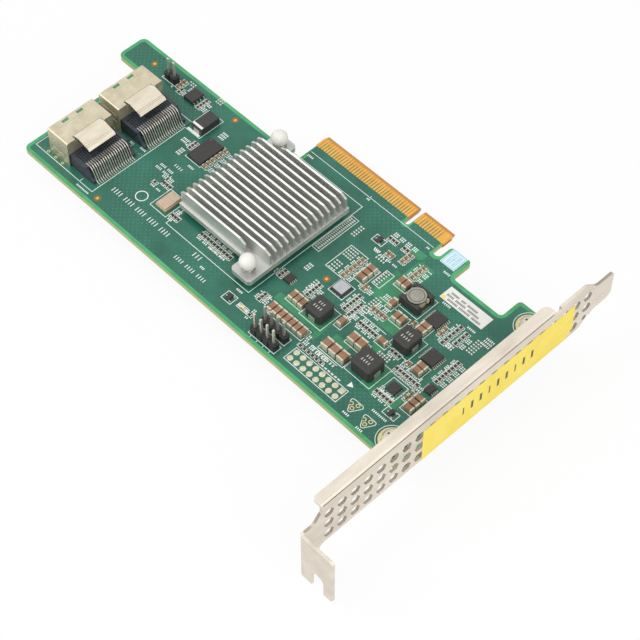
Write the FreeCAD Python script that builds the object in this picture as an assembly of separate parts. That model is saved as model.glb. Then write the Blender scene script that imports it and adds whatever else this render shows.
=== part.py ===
import FreeCAD, Part
import math
import os

# A storage controller card for a server: a printed circuit board with a card edge connector, two
# cable sockets, a finned heat sink and a full height steel bracket.
#
# Frame, in millimetres: the origin is on the line of the edge connector's tips, at the middle of
# its key notch, on the component side of the board. +X runs to the bracket, +Y out of the fingers,
# and +Z up from the component side. Every loose part on that side stands on z = 0.

# ---------------------------------------------------------------- circuit board
board_thickness = 1.57
board_far_y = -68.9          # long edge away from the fingers
board_end_gap = 0.8          # board end to the inside of the bracket
tail_x = -100.0              # main short edge at the tail
tail_tab_x = -109.55         # end of the tab at the tail
tail_tab_width = 10.8
shoulder_y = -12.9           # long edge beside the fingers, towards the tail
corner_radius = 2.0

finger_long = 38.65          # long run of fingers, tail side of the key
finger_short = 11.65         # short run, bracket side
key_width = 1.9
key_depth = 7.6
end_slot_width = 2.9         # clears the connector's end wall
end_slot_depth = 9.8
bevel_length = 1.2
bevel_depth = 0.42
hook_width = 7.9
hook_y = -4.15
recess_y = -12.2             # edge between the hook and the heel
heel_x = 42.2
heel_y = -4.25
hook_radius = 1.3

contact_pitch = 1.0
contact_width = 0.72
contact_length = 4.1
contact_thickness = 0.05
first_contact = 1.5          # key centre to the nearest contact
merged_contacts = 3          # last contacts of the short run, joined on the component side
merged_overhang = 0.25       # how far the joined contact runs on, towards the bracket

# ---------------------------------------------------------------- bracket
bracket_face_x = 58.9        # outer face
sheet = 0.86
bracket_length = 120.02
tab_outer_y = -105.3         # outer face of the screw tab
face_width = 18.42
flange_depth = 3.65
flange_start = 7.3           # from the tab's outer face
flange_end = 24.5            # from the tip's end
flange_start_radius = 1.2
flange_end_radius = 2.2
bend_radius = 1.1            # outside of each bend
neck_top_z = 9.8
neck_run = 4.6               # neck between the tab and the wide face
neck_rise = 2.9              # from the face's upper edge down to the neck's curve
flare_start = 7.6            # lower edge, from the tab's outer face
flare_run = 3.6
relief_width = 2.2           # small notch past the flange's end
relief_depth = 1.9
tip_width = 10.19
tip_drop = 4.2               # tip's upper edge below the face's
tip_upper_start = 11.9       # where the upper edge starts to step down, from the tip's end
tip_upper_run = 5.1
tip_lower_start = 13.8
tip_lower_run = 6.6
edge_radius = 2.4
crest_radius = 1.0
tab_length = 11.43
tab_height = 19.8
notch_width = 4.42
notch_centre = 5.9           # from the outer face to the notch's axis
notch_reach = 5.0            # notch's centre above the tab's lower edge
tab_chamfer = 0.8

vent_columns = 22
vent_rows = 3
vent_start = 9.9             # first column, from the tab's outer face
vent_end = 10.8              # last column, from the tip's end
vent_pitch_z = 4.85
vent_flats = 3.1
vent_middle_z = 5.4

ear_width = 8.6
ear_reach = 5.2              # past the screw's axis
ear_corner = 1.6
screw_setback = 8.9          # bracket's outer face to both screws
screw_far_y = -63.3
screw_near_y = -8.9
screw_radius = 1.5
screw_head_radius = 2.9
screw_head_height = 1.8
screw_head_rim = 0.7
screw_end = 0.7              # past the ear
screw_recess_reach = 1.6
screw_recess_width = 0.75
screw_recess_floor = 0.63    # above the head's seat
thread_gap = 0.05
board_screw_gap = 0.25

# ---------------------------------------------------------------- cable sockets
socket_mouth_gap = 6.6       # cage mouth to the tail edge
socket_first = 13.8          # far edge to the first socket's middle
socket_pitch = 19.8
cage_width = 17.4
cage_length = 9.0
cage_height = 9.7
cage_sheet = 0.32
cage_radius = 0.45
cage_leg_width = 0.8
cage_leg_end = 0.7           # below the board
cage_leg_pitch = 3.3
cage_leg_gap = 0.12
cage_leg_inset = 0.6         # mouth to the middle of the first leg
cage_leg_root = 0.2          # above the board, inside the wall
cage_window_length = 1.0
cage_window_width = 2.4
cage_window_place = 2.75     # each side of the middle
cage_window_inset = 0.7
cage_slit_length = 6.4
cage_slit_height = 0.45
cage_slit_places = (3.5, 6.4)
spring_tail = 0.4            # of the tongue's root in the roof
spring_width = 10.1
spring_root = 1.3            # from the cage's rear edge
spring_slit = 0.35
spring_rise = 0.65
spring_rise_run = 2.3
spring_reach = 4.4
spring_fall = 1.25
spring_lip = 0.6
spring_lip_run = 0.5

housing_height = 5.0
housing_rear = 7.4           # behind the cage
housing_side_gap = 0.25      # to the cage's inner wall
nose_length = 4.2
nose_height = 4.6
nose_base = 2.4
nose_width = 14.6
card_slot_height = 1.2
card_slot_depth = 3.2
card_slot_width = 13.6
cheek_width = 0.95
cheek_reach = 2.9
cheek_foot_height = 1.1
cheek_step = 1.6             # the cheek's step, from the rear face
cheek_step_height = 1.5
cheek_top_drop = 0.5
nose_roof_gap = 0.3
nose_wall_gap = 0.05
card_slot_drop = 0.6         # slot's middle below the housing's top
lean_run = 1.6
lean_drop = 1.2
terminal_count = 18
terminal_pitch = 0.8
terminal_width = 0.34
terminal_sheet = 0.18
groove_depth = 0.5
groove_length = 4.4
foot_reach = 4.2             # terminal's foot past the housing's rear
foot_length = 0.9
terminal_seat = 1.5          # let into the housing's top
terminal_run = 0.5
terminal_bend = 1.3
terminal_bend_z = 4.25
terminal_heel = 0.5
terminal_heel_z = 0.8
groove_setback = 1.9

# ---------------------------------------------------------------- heat sink
sink_x = -30.95
sink_y = -34.65
sink_length = 35.6           # along the fins
sink_width = 34.2
sink_ear_length = 7.9
sink_ear_reach = 5.45
sink_corner = 1.3
chip_height = 2.0
chip_side = 27.0
pad_thickness = 0.2
pad_side = 25.0
plate_thickness = 1.8
fin_count = 15
fin_pitch = 2.3
fin_thickness = 0.7
fin_height = 5.6
fin_inset = 0.3
fin_chamfer_run = 2.2
fin_chamfer_drop = 1.1
joint_lap = 0.1              # overlap where two shapes are made one
substrate_side = 31.0
substrate_height = 1.1

pin_offset_x = 13.8          # from the sink's middle
pin_offset_y = 19.1
pin_stem_radius = 1.5
pin_hole_gap = 0.2
pin_head_radius = 2.6
pin_head_gap = 2.2           # plate to the head, filled by the spring
pin_head_rim = 1.0
pin_tip_radius = 0.8
pin_barb_radius = 2.1
pin_barb_length = 2.6
pin_barb_gap = 0.15
pin_barb_land = 0.7          # straight part of the barb, under the board
pin_head_taper = 0.26        # under the head's rim
pin_dome_bands = 4
pin_split_depth = 0.4        # into the hole
pin_split = 0.6
spring_wire_radius = 0.2
spring_turns = 2
spring_steps = 10            # straight steps in each turn
spring_stem_gap = 0.3
spring_end_gap = 0.06

# ---------------------------------------------------------------- pin headers
header_pitch = 2.54
header_width = 2.5
header_height = 2.5
header_corner = 0.45
header_pin = 0.64
header_pin_top = 8.5
header_pin_tail = 1.4        # below the board
header_pin_bevel = 0.16
header_hole_gap = 0.06
pin_header_x = 2.21          # middle of both four pin headers
front_header_edge = 3.45     # far edge to the front header's axis
header_spacing = 3.9
short_header_x = -89.85
short_header_edge = 5.7      # shoulder edge to the two pin header's axis
header_pin_count = 4
short_header_pin_count = 2

blind_columns = 8
blind_first_x = 11.54
blind_front_edge = 4.35      # far edge to the front row of filled holes
blind_pad_radius = 0.92
blind_pad_height = 0.12

test_hole_radius = 0.38
test_hole_spread = 1.05
test_groups = [(35.1, -62.9), (41.2, -64.1)]

# ---------------------------------------------------------------- chips
chip_standoff = 0.1
chip_bevel = 0.12
lead_width = 0.3
lead_sheet = 0.14
lead_knee_share = 0.5        # of the package's height
lead_shoulder_share = 0.4    # of the lead's reach
lead_drop_share = 0.55
land_length = 0.5
land_overhang = 0.05
land_share = 0.5             # of the pitch
memory_foot_inset = 0.4
can_lid_inset = 0.25
can_base_height = 0.7
memory_chip = (-60.6, -31.0, 5.8, 9.8, 1.0)          # x, y, size x, size y, height
oscillator_can = (-53.5, -51.9, 4.4, 6.6, 1.3)
small_outline = (-79.5, -18.9, 3.9, 4.9, 1.5)
small_outline_lead_count = 4
small_outline_pitch = 1.27
small_outline_reach = 1.0
driver_size = (4.4, 5.0, 1.0)
driver_places = [(30.8, -26.4), (39.0, -36.5)]
driver_lead_count = 8
driver_pitch = 0.65
driver_reach = 0.9
switch_size = (2.4, 3.0, 0.9)
switch_places = [(-8.5, -45.8), (45.9, -44.4)]
switch_lead_count = 4
switch_reach = 0.7
flat_chip = (38.8, -51.3, 3.3, 3.3, 0.85)
flat_chip_lead_count = 4
flat_chip_pitch = 0.7
lidded_chip = (4.3, -37.65, 4.5, 4.5, 0.95)
lidded_chip_lead_count = 5
lidded_chip_pitch = 0.7
lid_side = 3.8
lid_height = 0.18
tiny_transistors = [(-15.5, -62.5), (43.9, -57.6), (-0.8, -17.5)]
tiny_size = (1.3, 2.4, 0.8)
tiny_lead_width = 0.4
tiny_lead_spread = 0.95
tiny_knee_z = 0.4
tiny_shoulder = 0.25
tiny_drop = 0.35
tiny_reach = 0.7

# ---------------------------------------------------------------- coils and capacitors
power_coils = [(6.3, -48.1, 6.0, 6.4, 4.0, "y"),     # x, y, size x, size y, height, terminal axis
               (29.0, -51.8, 7.4, 6.8, 4.6, "x"),
               (30.7, -38.0, 5.9, 6.7, 4.0, "x")]
coil_terminal = 2.4
coil_terminal_sheet = 0.15
coil_bevel = 0.35
coil_corner = 0.56
coil_land = 1.2
coil_wall_share = 0.45       # terminal's height up the side
drum_x = 22.3
drum_y = -25.7
drum_size = 7.1
drum_base = 0.7
drum_height = 3.2
drum_cap_radius = 2.95
drum_cap = 0.45
drum_core_radius = 2.3
drum_winding_radius = 2.8
drum_pillar = 1.5
drum_cap_gap = 0.25
drum_land_inset = 0.8
drum_land_length = 1.9
drum_land_width = 3.0

moulded_capacitor = (-68.3, -24.0, 4.3, 7.3, 2.8)
moulded_lead_width = 2.4
moulded_lead_sheet = 0.2
moulded_lead_height = 1.54
moulded_foot = 1.3
led_place = (-10.2, -62.3)
led_size = (1.6, 0.8, 0.55)
led_base_height = 0.22
led_dome_length = 0.96

tall_capacitor = (3.2, 1.6, 1.6)                     # length, width, height
wide_capacitor = (3.2, 2.5, 2.2)
small_capacitor = (1.6, 0.8, 0.8)
chip_resistor = (1.3, 0.7, 0.4)
capacitor_end = 0.5
capacitor_end_proud = 0.03
# Rows of like parts: first x, first y, step x, step y, count, axis of the part's length.
tall_capacitor_rows = [(-4.3, -56.4, 2.05, 0.0, 7, "y"), (-3.1, -49.4, 2.0, 0.0, 3, "y"),
                       (5.6, -31.0, 0.0, 2.1, 3, "x"), (14.5, -23.8, 2.0, 0.0, 2, "y"),
                       (18.2, -31.2, 2.0, 0.0, 1, "y"), (22.3, -33.6, 2.0, 0.0, 2, "y"),
                       (30.4, -32.2, 0.0, 2.0, 2, "x"), (25.6, -42.6, 2.0, 0.0, 1, "x"),
                       (12.9, -45.9, 2.0, 0.0, 1, "y"), (39.3, -42.8, 0.0, 2.0, 2, "x"),
                       (46.2, -53.2, 0.0, 2.1, 3, "x")]
wide_capacitor_rows = [(15.9, -54.4, 3.1, 0.0, 3, "y"), (19.6, -47.8, 3.0, 0.0, 2, "y")]
small_capacitor_rows = [(1.3, -34.0, 0.0, 1.6, 6, "x"), (8.7, -33.3, 0.0, 1.4, 2, "x"),
                        (15.5, -20.4, 0.0, 1.6, 4, "x"), (4.3, -19.2, 1.6, 0.0, 2, "y"),
                        (9.5, -18.3, 0.0, 1.6, 3, "x"), (15.4, -36.2, 1.5, 0.0, 4, "y"),
                        (26.6, -33.9, 1.3, 0.0, 1, "y"), (35.7, -42.6, 0.0, 1.6, 1, "y"),
                        (43.0, -51.0, 0.0, 1.9, 2, "y"), (-56.4, -35.2, 0.0, 1.7, 6, "x"),
                        (-86.0, -16.6, 0.0, -1.4, 3, "x"), (34.6, -28.8, 0.0, 1.9, 2, "y"),
                        (27.1, -31.6, 1.3, 0.0, 1, "y")]
chip_resistor_rows = [(16.4, -42.3, 1.2, 0.0, 6, "y"), (9.9, -41.8, 0.0, 1.2, 6, "x"),
                      (12.3, -42.4, 0.0, 1.2, 5, "x"), (37.2, -30.6, 0.0, 1.5, 6, "x"),
                      (40.0, -28.2, 0.0, 1.5, 4, "x"), (45.2, -41.2, 0.0, 1.25, 8, "x"),
                      (34.4, -45.9, 1.3, 0.0, 7, "y"), (35.9, -55.2, 1.3, 0.0, 5, "y"),
                      (-0.9, -46.0, 0.0, 1.2, 5, "x"), (10.6, -59.6, 1.6, 0.0, 6, "x"),
                      (-38.0, -52.9, 1.35, 0.0, 10, "y"), (-75.6, -17.0, 0.0, -1.2, 4, "x"),
                      (-65.2, -33.2, 0.0, 1.2, 3, "x"), (-49.2, -54.3, 1.2, 0.0, 3, "y"),
                      (-9.2, -56.9, 0.0, 1.2, 3, "x"), (-11.3, -47.0, 0.0, 1.2, 3, "x"),
                      (-7.0, -62.6, 1.3, 0.0, 1, "x"), (0.8, -14.7, 1.3, 0.0, 3, "y"),
                      (6.3, -14.5, 1.3, 0.0, 2, "y"), (29.4, -42.7, 1.4, 0.0, 3, "y"),
                      (-84.4, -20.6, 0.0, 1.3, 2, "x"), (-60.3, -47.9, 1.3, 0.0, 3, "y"),
                      (-62.2, -49.6, 1.3, 0.0, 1, "x")]

# ---------------------------------------------------------------- labels
label_thickness = 0.1
bracket_label_length = 59.7
bracket_label_height = 13.7
bracket_label_start_y = -61.1
bracket_label_low_z = -2.35
bracket_label_corner = 3.0
product_label = (33.4, -17.05, 16.2, 5.0)
inspection_sticker = (19.2, -7.25, 5.5, 6.15)

# ---------------------------------------------------------------- values that follow
V = FreeCAD.Vector
key_half = key_width / 2
finger_tail_x = -key_half - finger_long
finger_head_x = key_half + finger_short
hook_tail_x = finger_head_x + end_slot_width
hook_head_x = hook_tail_x + hook_width
bracket_inner_x = bracket_face_x - sheet
screw_x = bracket_face_x - screw_setback
board_end_x = bracket_inner_x - board_end_gap
board_under_z = -board_thickness
ear_low_z = board_under_z - sheet
face_low_z = ear_low_z
face_top_z = face_low_z + face_width
tab_inner_y = tab_outer_y + sheet
tip_y = tab_outer_y + bracket_length
flange_start_y = tab_outer_y + flange_start
flange_end_y = tip_y - flange_end
vent_first_y = tab_outer_y + vent_start
vent_pitch_y = (bracket_length - vent_start - vent_end) / (vent_columns - 1)
mouth_x = tail_x + socket_mouth_gap
cage_rear_x = mouth_x + cage_length
housing_rear_x = cage_rear_x + housing_rear
socket_places = [board_far_y + socket_first, board_far_y + socket_first + socket_pitch]
plate_low_z = chip_height + pad_thickness
plate_top_z = plate_low_z + plate_thickness
front_header_y = board_far_y + front_header_edge
rear_header_y = front_header_y + header_spacing
short_header_y = shoulder_y - short_header_edge
blind_front_y = board_far_y + blind_front_edge
headers = {"front_header": (pin_header_x, front_header_y, header_pin_count),
           "rear_header": (pin_header_x, rear_header_y, header_pin_count),
           "side_header": (short_header_x, short_header_y, short_header_pin_count)}
pin_places = [(sink_x + pin_offset_x, sink_y - pin_offset_y),
              (sink_x - pin_offset_x, sink_y + pin_offset_y)]


# ---------------------------------------------------------------- drawing tools
def block(x0, x1, y0, y1, z0, z1):
    """A box from its two corners."""
    return Part.makeBox(x1 - x0, y1 - y0, z1 - z0, V(x0, y0, z0))


def centred(x, y, length, width, z0, z1):
    """A box standing on z0, centred on x and y."""
    return block(x - length / 2, x + length / 2, y - width / 2, y + width / 2, z0, z1)


def post(x, y, radius, z0, z1):
    """An upright cylinder."""
    return Part.makeCylinder(radius, z1 - z0, V(x, y, z0))


def flat(points, direction):
    """A closed polygon, pushed along a direction."""
    corners = [V(*point) for point in points]
    return Part.Face(Part.makePolygon(corners + corners[:1])).extrude(V(*direction))


def drill(x, y, radius, z0, z1):
    """A small eight sided hole, never narrower than its radius."""
    reach = radius / math.cos(math.pi / 8)
    ring = [(x + reach * math.cos(math.pi * (2 * k + 1) / 8),
             y + reach * math.sin(math.pi * (2 * k + 1) / 8), z0) for k in range(8)]
    return flat(ring, (0, 0, z1 - z0))


def edges_along(shape, axis, places, span=(-1000, 1000), slack=0.02):
    """Edges along an axis, at given pairs of the other two coordinates and middles in the span."""
    found = []
    for edge in shape.Edges:
        if len(edge.Vertexes) != 2 or not isinstance(edge.Curve, Part.Line):
            continue
        run = edge.Vertexes[1].Point - edge.Vertexes[0].Point
        run.normalize()
        if abs(abs(run[axis]) - 1) > 1e-6:
            continue
        point = edge.CenterOfMass
        if not span[0] < point[axis] < span[1]:
            continue
        pair = [point[k] for k in range(3) if k != axis]
        for place in places:
            if abs(pair[0] - place[0]) < slack and abs(pair[1] - place[1]) < slack:
                found.append(edge)
    return found


def rounded(shape, axis, places, radius, span=(-1000, 1000)):
    """The shape with the named straight edges rounded."""
    edges = edges_along(shape, axis, places, span)
    return shape.makeFillet(radius, edges)


def join(shapes):
    """One solid from shapes that overlap or touch."""
    whole = shapes[0].multiFuse(shapes[1:]) if len(shapes) > 1 else shapes[0]
    return whole.removeSplitter()


def strip(path, thickness, y0, y1):
    """A bent strip: a path of x, z points, given its thickness below and pushed along Y."""
    lower = []
    for k, (x, z) in enumerate(path):
        before = path[max(k - 1, 0)]
        after = path[min(k + 1, len(path) - 1)]
        first = math.atan2(z - before[1], x - before[0]) if k > 0 else None
        second = math.atan2(after[1] - z, after[0] - x) if k < len(path) - 1 else None
        first = second if first is None else first
        second = first if second is None else second
        middle = (first + second) / 2
        reach = thickness / math.cos((second - first) / 2)
        lower.append((x + reach * math.sin(middle), z - reach * math.cos(middle)))
    outline = [(x, y0, z) for x, z in path] + [(x, y0, z) for x, z in reversed(lower)]
    return flat(outline, (0, y1 - y0, 0))


def chip_body(x, y, length, width, height):
    """A moulded package that stands a little off the board, its upper edges bevelled."""
    body = centred(x, y, length, width, chip_standoff, height)
    upper = [edge for edge in body.Edges if abs(edge.BoundBox.ZMin - height) < 1e-6]
    return body.makeChamfer(chip_bevel, upper)


def gull_leads(x, y, length, height, count, pitch, reach):
    """Leads on both X sides of a package, stepped down to the board."""
    leads = []
    knee = height * lead_knee_share
    run = length / 2
    for side in (-1, 1):
        for k in range(count):
            middle = y + (k - (count - 1) / 2) * pitch
            path = [(run, knee), (run + reach * lead_shoulder_share, knee),
                    (run + reach * lead_drop_share, lead_sheet), (run + reach, lead_sheet)]
            lead = strip(path, lead_sheet, middle - lead_width / 2, middle + lead_width / 2)
            if side < 0:
                lead = lead.mirror(V(0, 0, 0), V(1, 0, 0))
            leads.append(lead.translated(V(x, 0, 0)))
    return leads


def rows_of(rows, size):
    """Middles and plan sizes of the small parts that stand in rows."""
    places = []
    for x, y, step_x, step_y, count, axis in rows:
        for k in range(count):
            plan = (size[0], size[1]) if axis == "x" else (size[1], size[0])
            places.append((x + k * step_x, y + k * step_y, plan[0], plan[1], axis))
    return places


os.makedirs("parts", exist_ok=True)


def export(name, *shapes):
    """Write one node, a single solid or a group of separate ones."""
    shape = shapes[0] if len(shapes) == 1 else Part.makeCompound(list(shapes))
    shape.exportStep(f"parts/{name}.step")


# ---------------------------------------------------------------- board and its contacts
def header_pin_places(x, y, count):
    """Middles of the pins of one header."""
    return [(x + (k - (count - 1) / 2) * header_pitch, y) for k in range(count)]


def cage_leg_places():
    """Middles of the cage legs, three on each side of each socket."""
    places = []
    for socket_y in socket_places:
        for side in (-1, 1):
            for k in range(3):
                leg_x = mouth_x + cage_leg_inset + k * cage_leg_pitch
                places.append((leg_x, socket_y + side * (cage_width - cage_sheet) / 2))
    return places


def test_hole_places():
    """Three holes at the corners of a triangle, for each group."""
    places = []
    for x, y in test_groups:
        for angle in (40, 180, 280):
            turn = math.radians(angle)
            places.append((x + test_hole_spread * math.cos(turn), y + test_hole_spread * math.sin(turn)))
    return places


def make_board():
    slot_y = -end_slot_depth + end_slot_width / 2
    outline = [(finger_tail_x, 0), (finger_head_x, 0), (finger_head_x, slot_y), (hook_tail_x, slot_y),
               (hook_tail_x, hook_y), (hook_head_x, hook_y), (hook_head_x, recess_y),
               (heel_x, recess_y), (heel_x, heel_y), (board_end_x, heel_y),
               (board_end_x, board_far_y), (tail_x, board_far_y),
               (tail_x, shoulder_y - tail_tab_width), (tail_tab_x, shoulder_y - tail_tab_width),
               (tail_tab_x, shoulder_y), (finger_tail_x, shoulder_y)]
    board = flat([(x, y, board_under_z) for x, y in outline], (0, 0, board_thickness))
    board = rounded(board, 2, [(board_end_x, board_far_y), (tail_x, board_far_y),
                               (tail_tab_x, shoulder_y), (tail_tab_x, shoulder_y - tail_tab_width)],
                    corner_radius)
    board = rounded(board, 2, [(hook_tail_x, hook_y), (hook_head_x, hook_y), (hook_head_x, recess_y),
                               (heel_x, recess_y), (heel_x, heel_y), (board_end_x, heel_y),
                               (tail_x, shoulder_y - tail_tab_width)], hook_radius)
    below = board_under_z - 1
    key_round_y = -key_depth + key_half
    cuts = [post((finger_head_x + hook_tail_x) / 2, slot_y, end_slot_width / 2, below, 1),
            block(-key_half, key_half, key_round_y, 1, below, 1),
            post(0, key_round_y, key_half, below, 1)]
    for face_z, inward in ((0, -bevel_depth), (board_under_z, bevel_depth)):
        wedge = [(finger_tail_x - 1, -bevel_length, face_z), (finger_tail_x - 1, 1, face_z),
                 (finger_tail_x - 1, 1, face_z + inward * (1 + 1 / bevel_length)),
                 (finger_tail_x - 1, 0, face_z + inward)]
        cuts.append(flat(wedge, (finger_long + key_width + finger_short + 2, 0, 0)))
    for y in (screw_far_y, screw_near_y):
        cuts.append(post(screw_x, y, screw_radius + board_screw_gap, below, 1))
    for x, y in pin_places:
        cuts.append(post(x, y, pin_stem_radius + pin_hole_gap, below, 1))
    pin_hole = header_pin / math.sqrt(2) + header_hole_gap
    for header in headers.values():
        for x, y in header_pin_places(*header):
            cuts.append(drill(x, y, pin_hole, below, 1))
    for x, y in cage_leg_places():
        cuts.append(drill(x, y, cage_leg_width / 2 + cage_leg_gap, below, 1))
    for x, y in test_hole_places():
        cuts.append(drill(x, y, test_hole_radius, below, 1))
    return board.cut(Part.makeCompound(cuts))


def make_contacts(z0, merged):
    """The gold contacts of one side; the last few of the short run may be one wide contact."""
    long_count = int((finger_long - first_contact + key_half) / contact_pitch) + 1
    short_count = int((finger_short - first_contact + key_half) / contact_pitch) + 1
    centres = [-first_contact - k * contact_pitch for k in range(long_count)]
    single = short_count - merged_contacts if merged else short_count
    centres += [first_contact + k * contact_pitch for k in range(single)]
    inner_y = -bevel_length - contact_length
    pads = [block(x - contact_width / 2, x + contact_width / 2, inner_y, -bevel_length,
                  z0, z0 + contact_thickness) for x in centres]
    if merged:
        start = first_contact + single * contact_pitch - contact_width / 2
        end = first_contact + (short_count - 1) * contact_pitch + contact_width / 2 + merged_overhang
        pads.append(block(start, end, inner_y, -bevel_length, z0, z0 + contact_thickness))
    return pads


export("circuit_board", make_board())
export("edge_contacts_top", *make_contacts(0, True))
export("edge_contacts_bottom", *make_contacts(board_under_z - contact_thickness, False))


# ---------------------------------------------------------------- bracket and its screws
def make_bracket():
    step_top_z = face_top_z - tip_drop
    step_low_z = step_top_z - tip_width
    tab_low_z = neck_top_z - tab_height
    neck_y = tab_outer_y + neck_run
    relief_z = face_top_z - relief_depth
    relief_y = flange_end_y + relief_width
    crest_y = tip_y - tip_upper_start
    ramp_y = tip_y - tip_lower_start
    flare_y = tab_outer_y + flare_start
    outline = [(tab_outer_y, neck_top_z), (neck_y, neck_top_z),
               (flange_start_y, face_top_z - neck_rise), (flange_start_y, face_top_z),
               (flange_end_y, face_top_z), (flange_end_y, relief_z),
               (relief_y, relief_z), (relief_y, face_top_z), (crest_y, face_top_z),
               (crest_y + tip_upper_run, step_top_z), (tip_y, step_top_z), (tip_y, step_low_z),
               (ramp_y + tip_lower_run, step_low_z), (ramp_y, face_low_z), (flare_y, face_low_z),
               (flare_y - flare_run, face_low_z - flare_run), (flare_y - flare_run, tab_low_z),
               (tab_outer_y, tab_low_z)]
    face = flat([(bracket_inner_x, y, z) for y, z in outline], (sheet, 0, 0))
    face = rounded(face, 0, [(neck_y, neck_top_z), (crest_y + tip_upper_run, step_top_z),
                             (ramp_y + tip_lower_run, step_low_z), (ramp_y, face_low_z),
                             (tip_y, step_low_z), (flare_y, face_low_z)], edge_radius)
    face = rounded(face, 0, [(crest_y, face_top_z), (tip_y, step_top_z)], crest_radius)

    flange = block(bracket_face_x - flange_depth, bracket_face_x, flange_start_y, flange_end_y,
                   face_top_z - sheet, face_top_z)
    flange_x = bracket_face_x - flange_depth
    flange = rounded(flange, 2, [(flange_x, flange_start_y)], flange_start_radius)
    flange = rounded(flange, 2, [(flange_x, flange_end_y)], flange_end_radius)
    tab = block(bracket_inner_x, bracket_face_x + tab_length, tab_outer_y, tab_inner_y,
                tab_low_z, neck_top_z)
    tab_x = bracket_face_x + tab_length
    tab = tab.makeChamfer(tab_chamfer, edges_along(tab, 1, [(tab_x, tab_low_z), (tab_x, neck_top_z)]))
    notch_x = bracket_face_x + notch_centre
    notch_z = tab_low_z + notch_reach
    notch = block(notch_x - notch_width / 2, notch_x + notch_width / 2,
                  tab_outer_y - 1, tab_inner_y + 1, tab_low_z - 1, notch_z)
    notch_end = Part.makeCylinder(notch_width / 2, sheet + 2, V(notch_x, tab_outer_y - 1, notch_z),
                                  V(0, 1, 0))
    ears = [block(screw_x - ear_reach, bracket_face_x, y - ear_width / 2, y + ear_width / 2,
                  ear_low_z, board_under_z) for y in (screw_far_y, screw_near_y)]
    ears = [rounded(ear, 2, [(screw_x - ear_reach, y - ear_width / 2),
                             (screw_x - ear_reach, y + ear_width / 2)], ear_corner)
            for ear, y in zip(ears, (screw_far_y, screw_near_y))]
    bracket = join([face, flange, tab] + ears)
    folded = (flange_start_y, flange_end_y)
    bracket = rounded(bracket, 1, [(bracket_face_x, face_top_z)], bend_radius, folded)
    bracket = rounded(bracket, 2, [(bracket_inner_x, tab_outer_y)], bend_radius)
    bracket = rounded(bracket, 2, [(bracket_face_x, tab_inner_y)], bend_radius - sheet)
    cuts = [notch, notch_end]
    for y in (screw_far_y, screw_near_y):
        cuts.append(post(screw_x, y, screw_radius + thread_gap, ear_low_z - 1, board_under_z + 1))
    corner = vent_flats / math.sqrt(3)
    for row in range(vent_rows):
        for column in range(vent_columns):
            y = vent_first_y + column * vent_pitch_y
            z = vent_middle_z + (row - (vent_rows - 1) / 2) * vent_pitch_z
            hexagon = [(bracket_inner_x - 1, y + corner * math.cos(math.radians(60 * k)),
                        z + corner * math.sin(math.radians(60 * k))) for k in range(6)]
            cuts.append(flat(hexagon, (sheet + 2, 0, 0)))
    return bracket.cut(Part.makeCompound(cuts))


def make_screw(y):
    """A pan head machine screw with a cross recess, down through the board into the ear."""
    shank = post(screw_x, y, screw_radius, ear_low_z - screw_end, 0)
    head = post(screw_x, y, screw_head_radius, 0, screw_head_height)
    rim = [edge for edge in head.Edges if abs(edge.BoundBox.ZMin - screw_head_height) < 1e-6]
    head = head.makeChamfer(screw_head_rim, rim)
    cross = join([centred(screw_x, y, 2 * screw_recess_reach, screw_recess_width,
                          screw_recess_floor, screw_head_height + 1),
                  centred(screw_x, y, screw_recess_width, 2 * screw_recess_reach,
                          screw_recess_floor, screw_head_height + 1)])
    return join([shank, head]).cut(cross)


export("bracket", make_bracket())
export("bracket_screws", make_screw(screw_far_y), make_screw(screw_near_y))


def make_bracket_label():
    """The label on the vented face; its corner by the tip's ramp is cut off."""
    y0 = bracket_label_start_y
    y1 = y0 + bracket_label_length
    z0 = bracket_label_low_z
    z1 = z0 + bracket_label_height
    outline = [(y0, z0), (y1 - bracket_label_corner, z0), (y1, z0 + bracket_label_corner), (y1, z1), (y0, z1)]
    return flat([(bracket_face_x, y, z) for y, z in outline], (label_thickness, 0, 0))


export("bracket_label", make_bracket_label())


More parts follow.
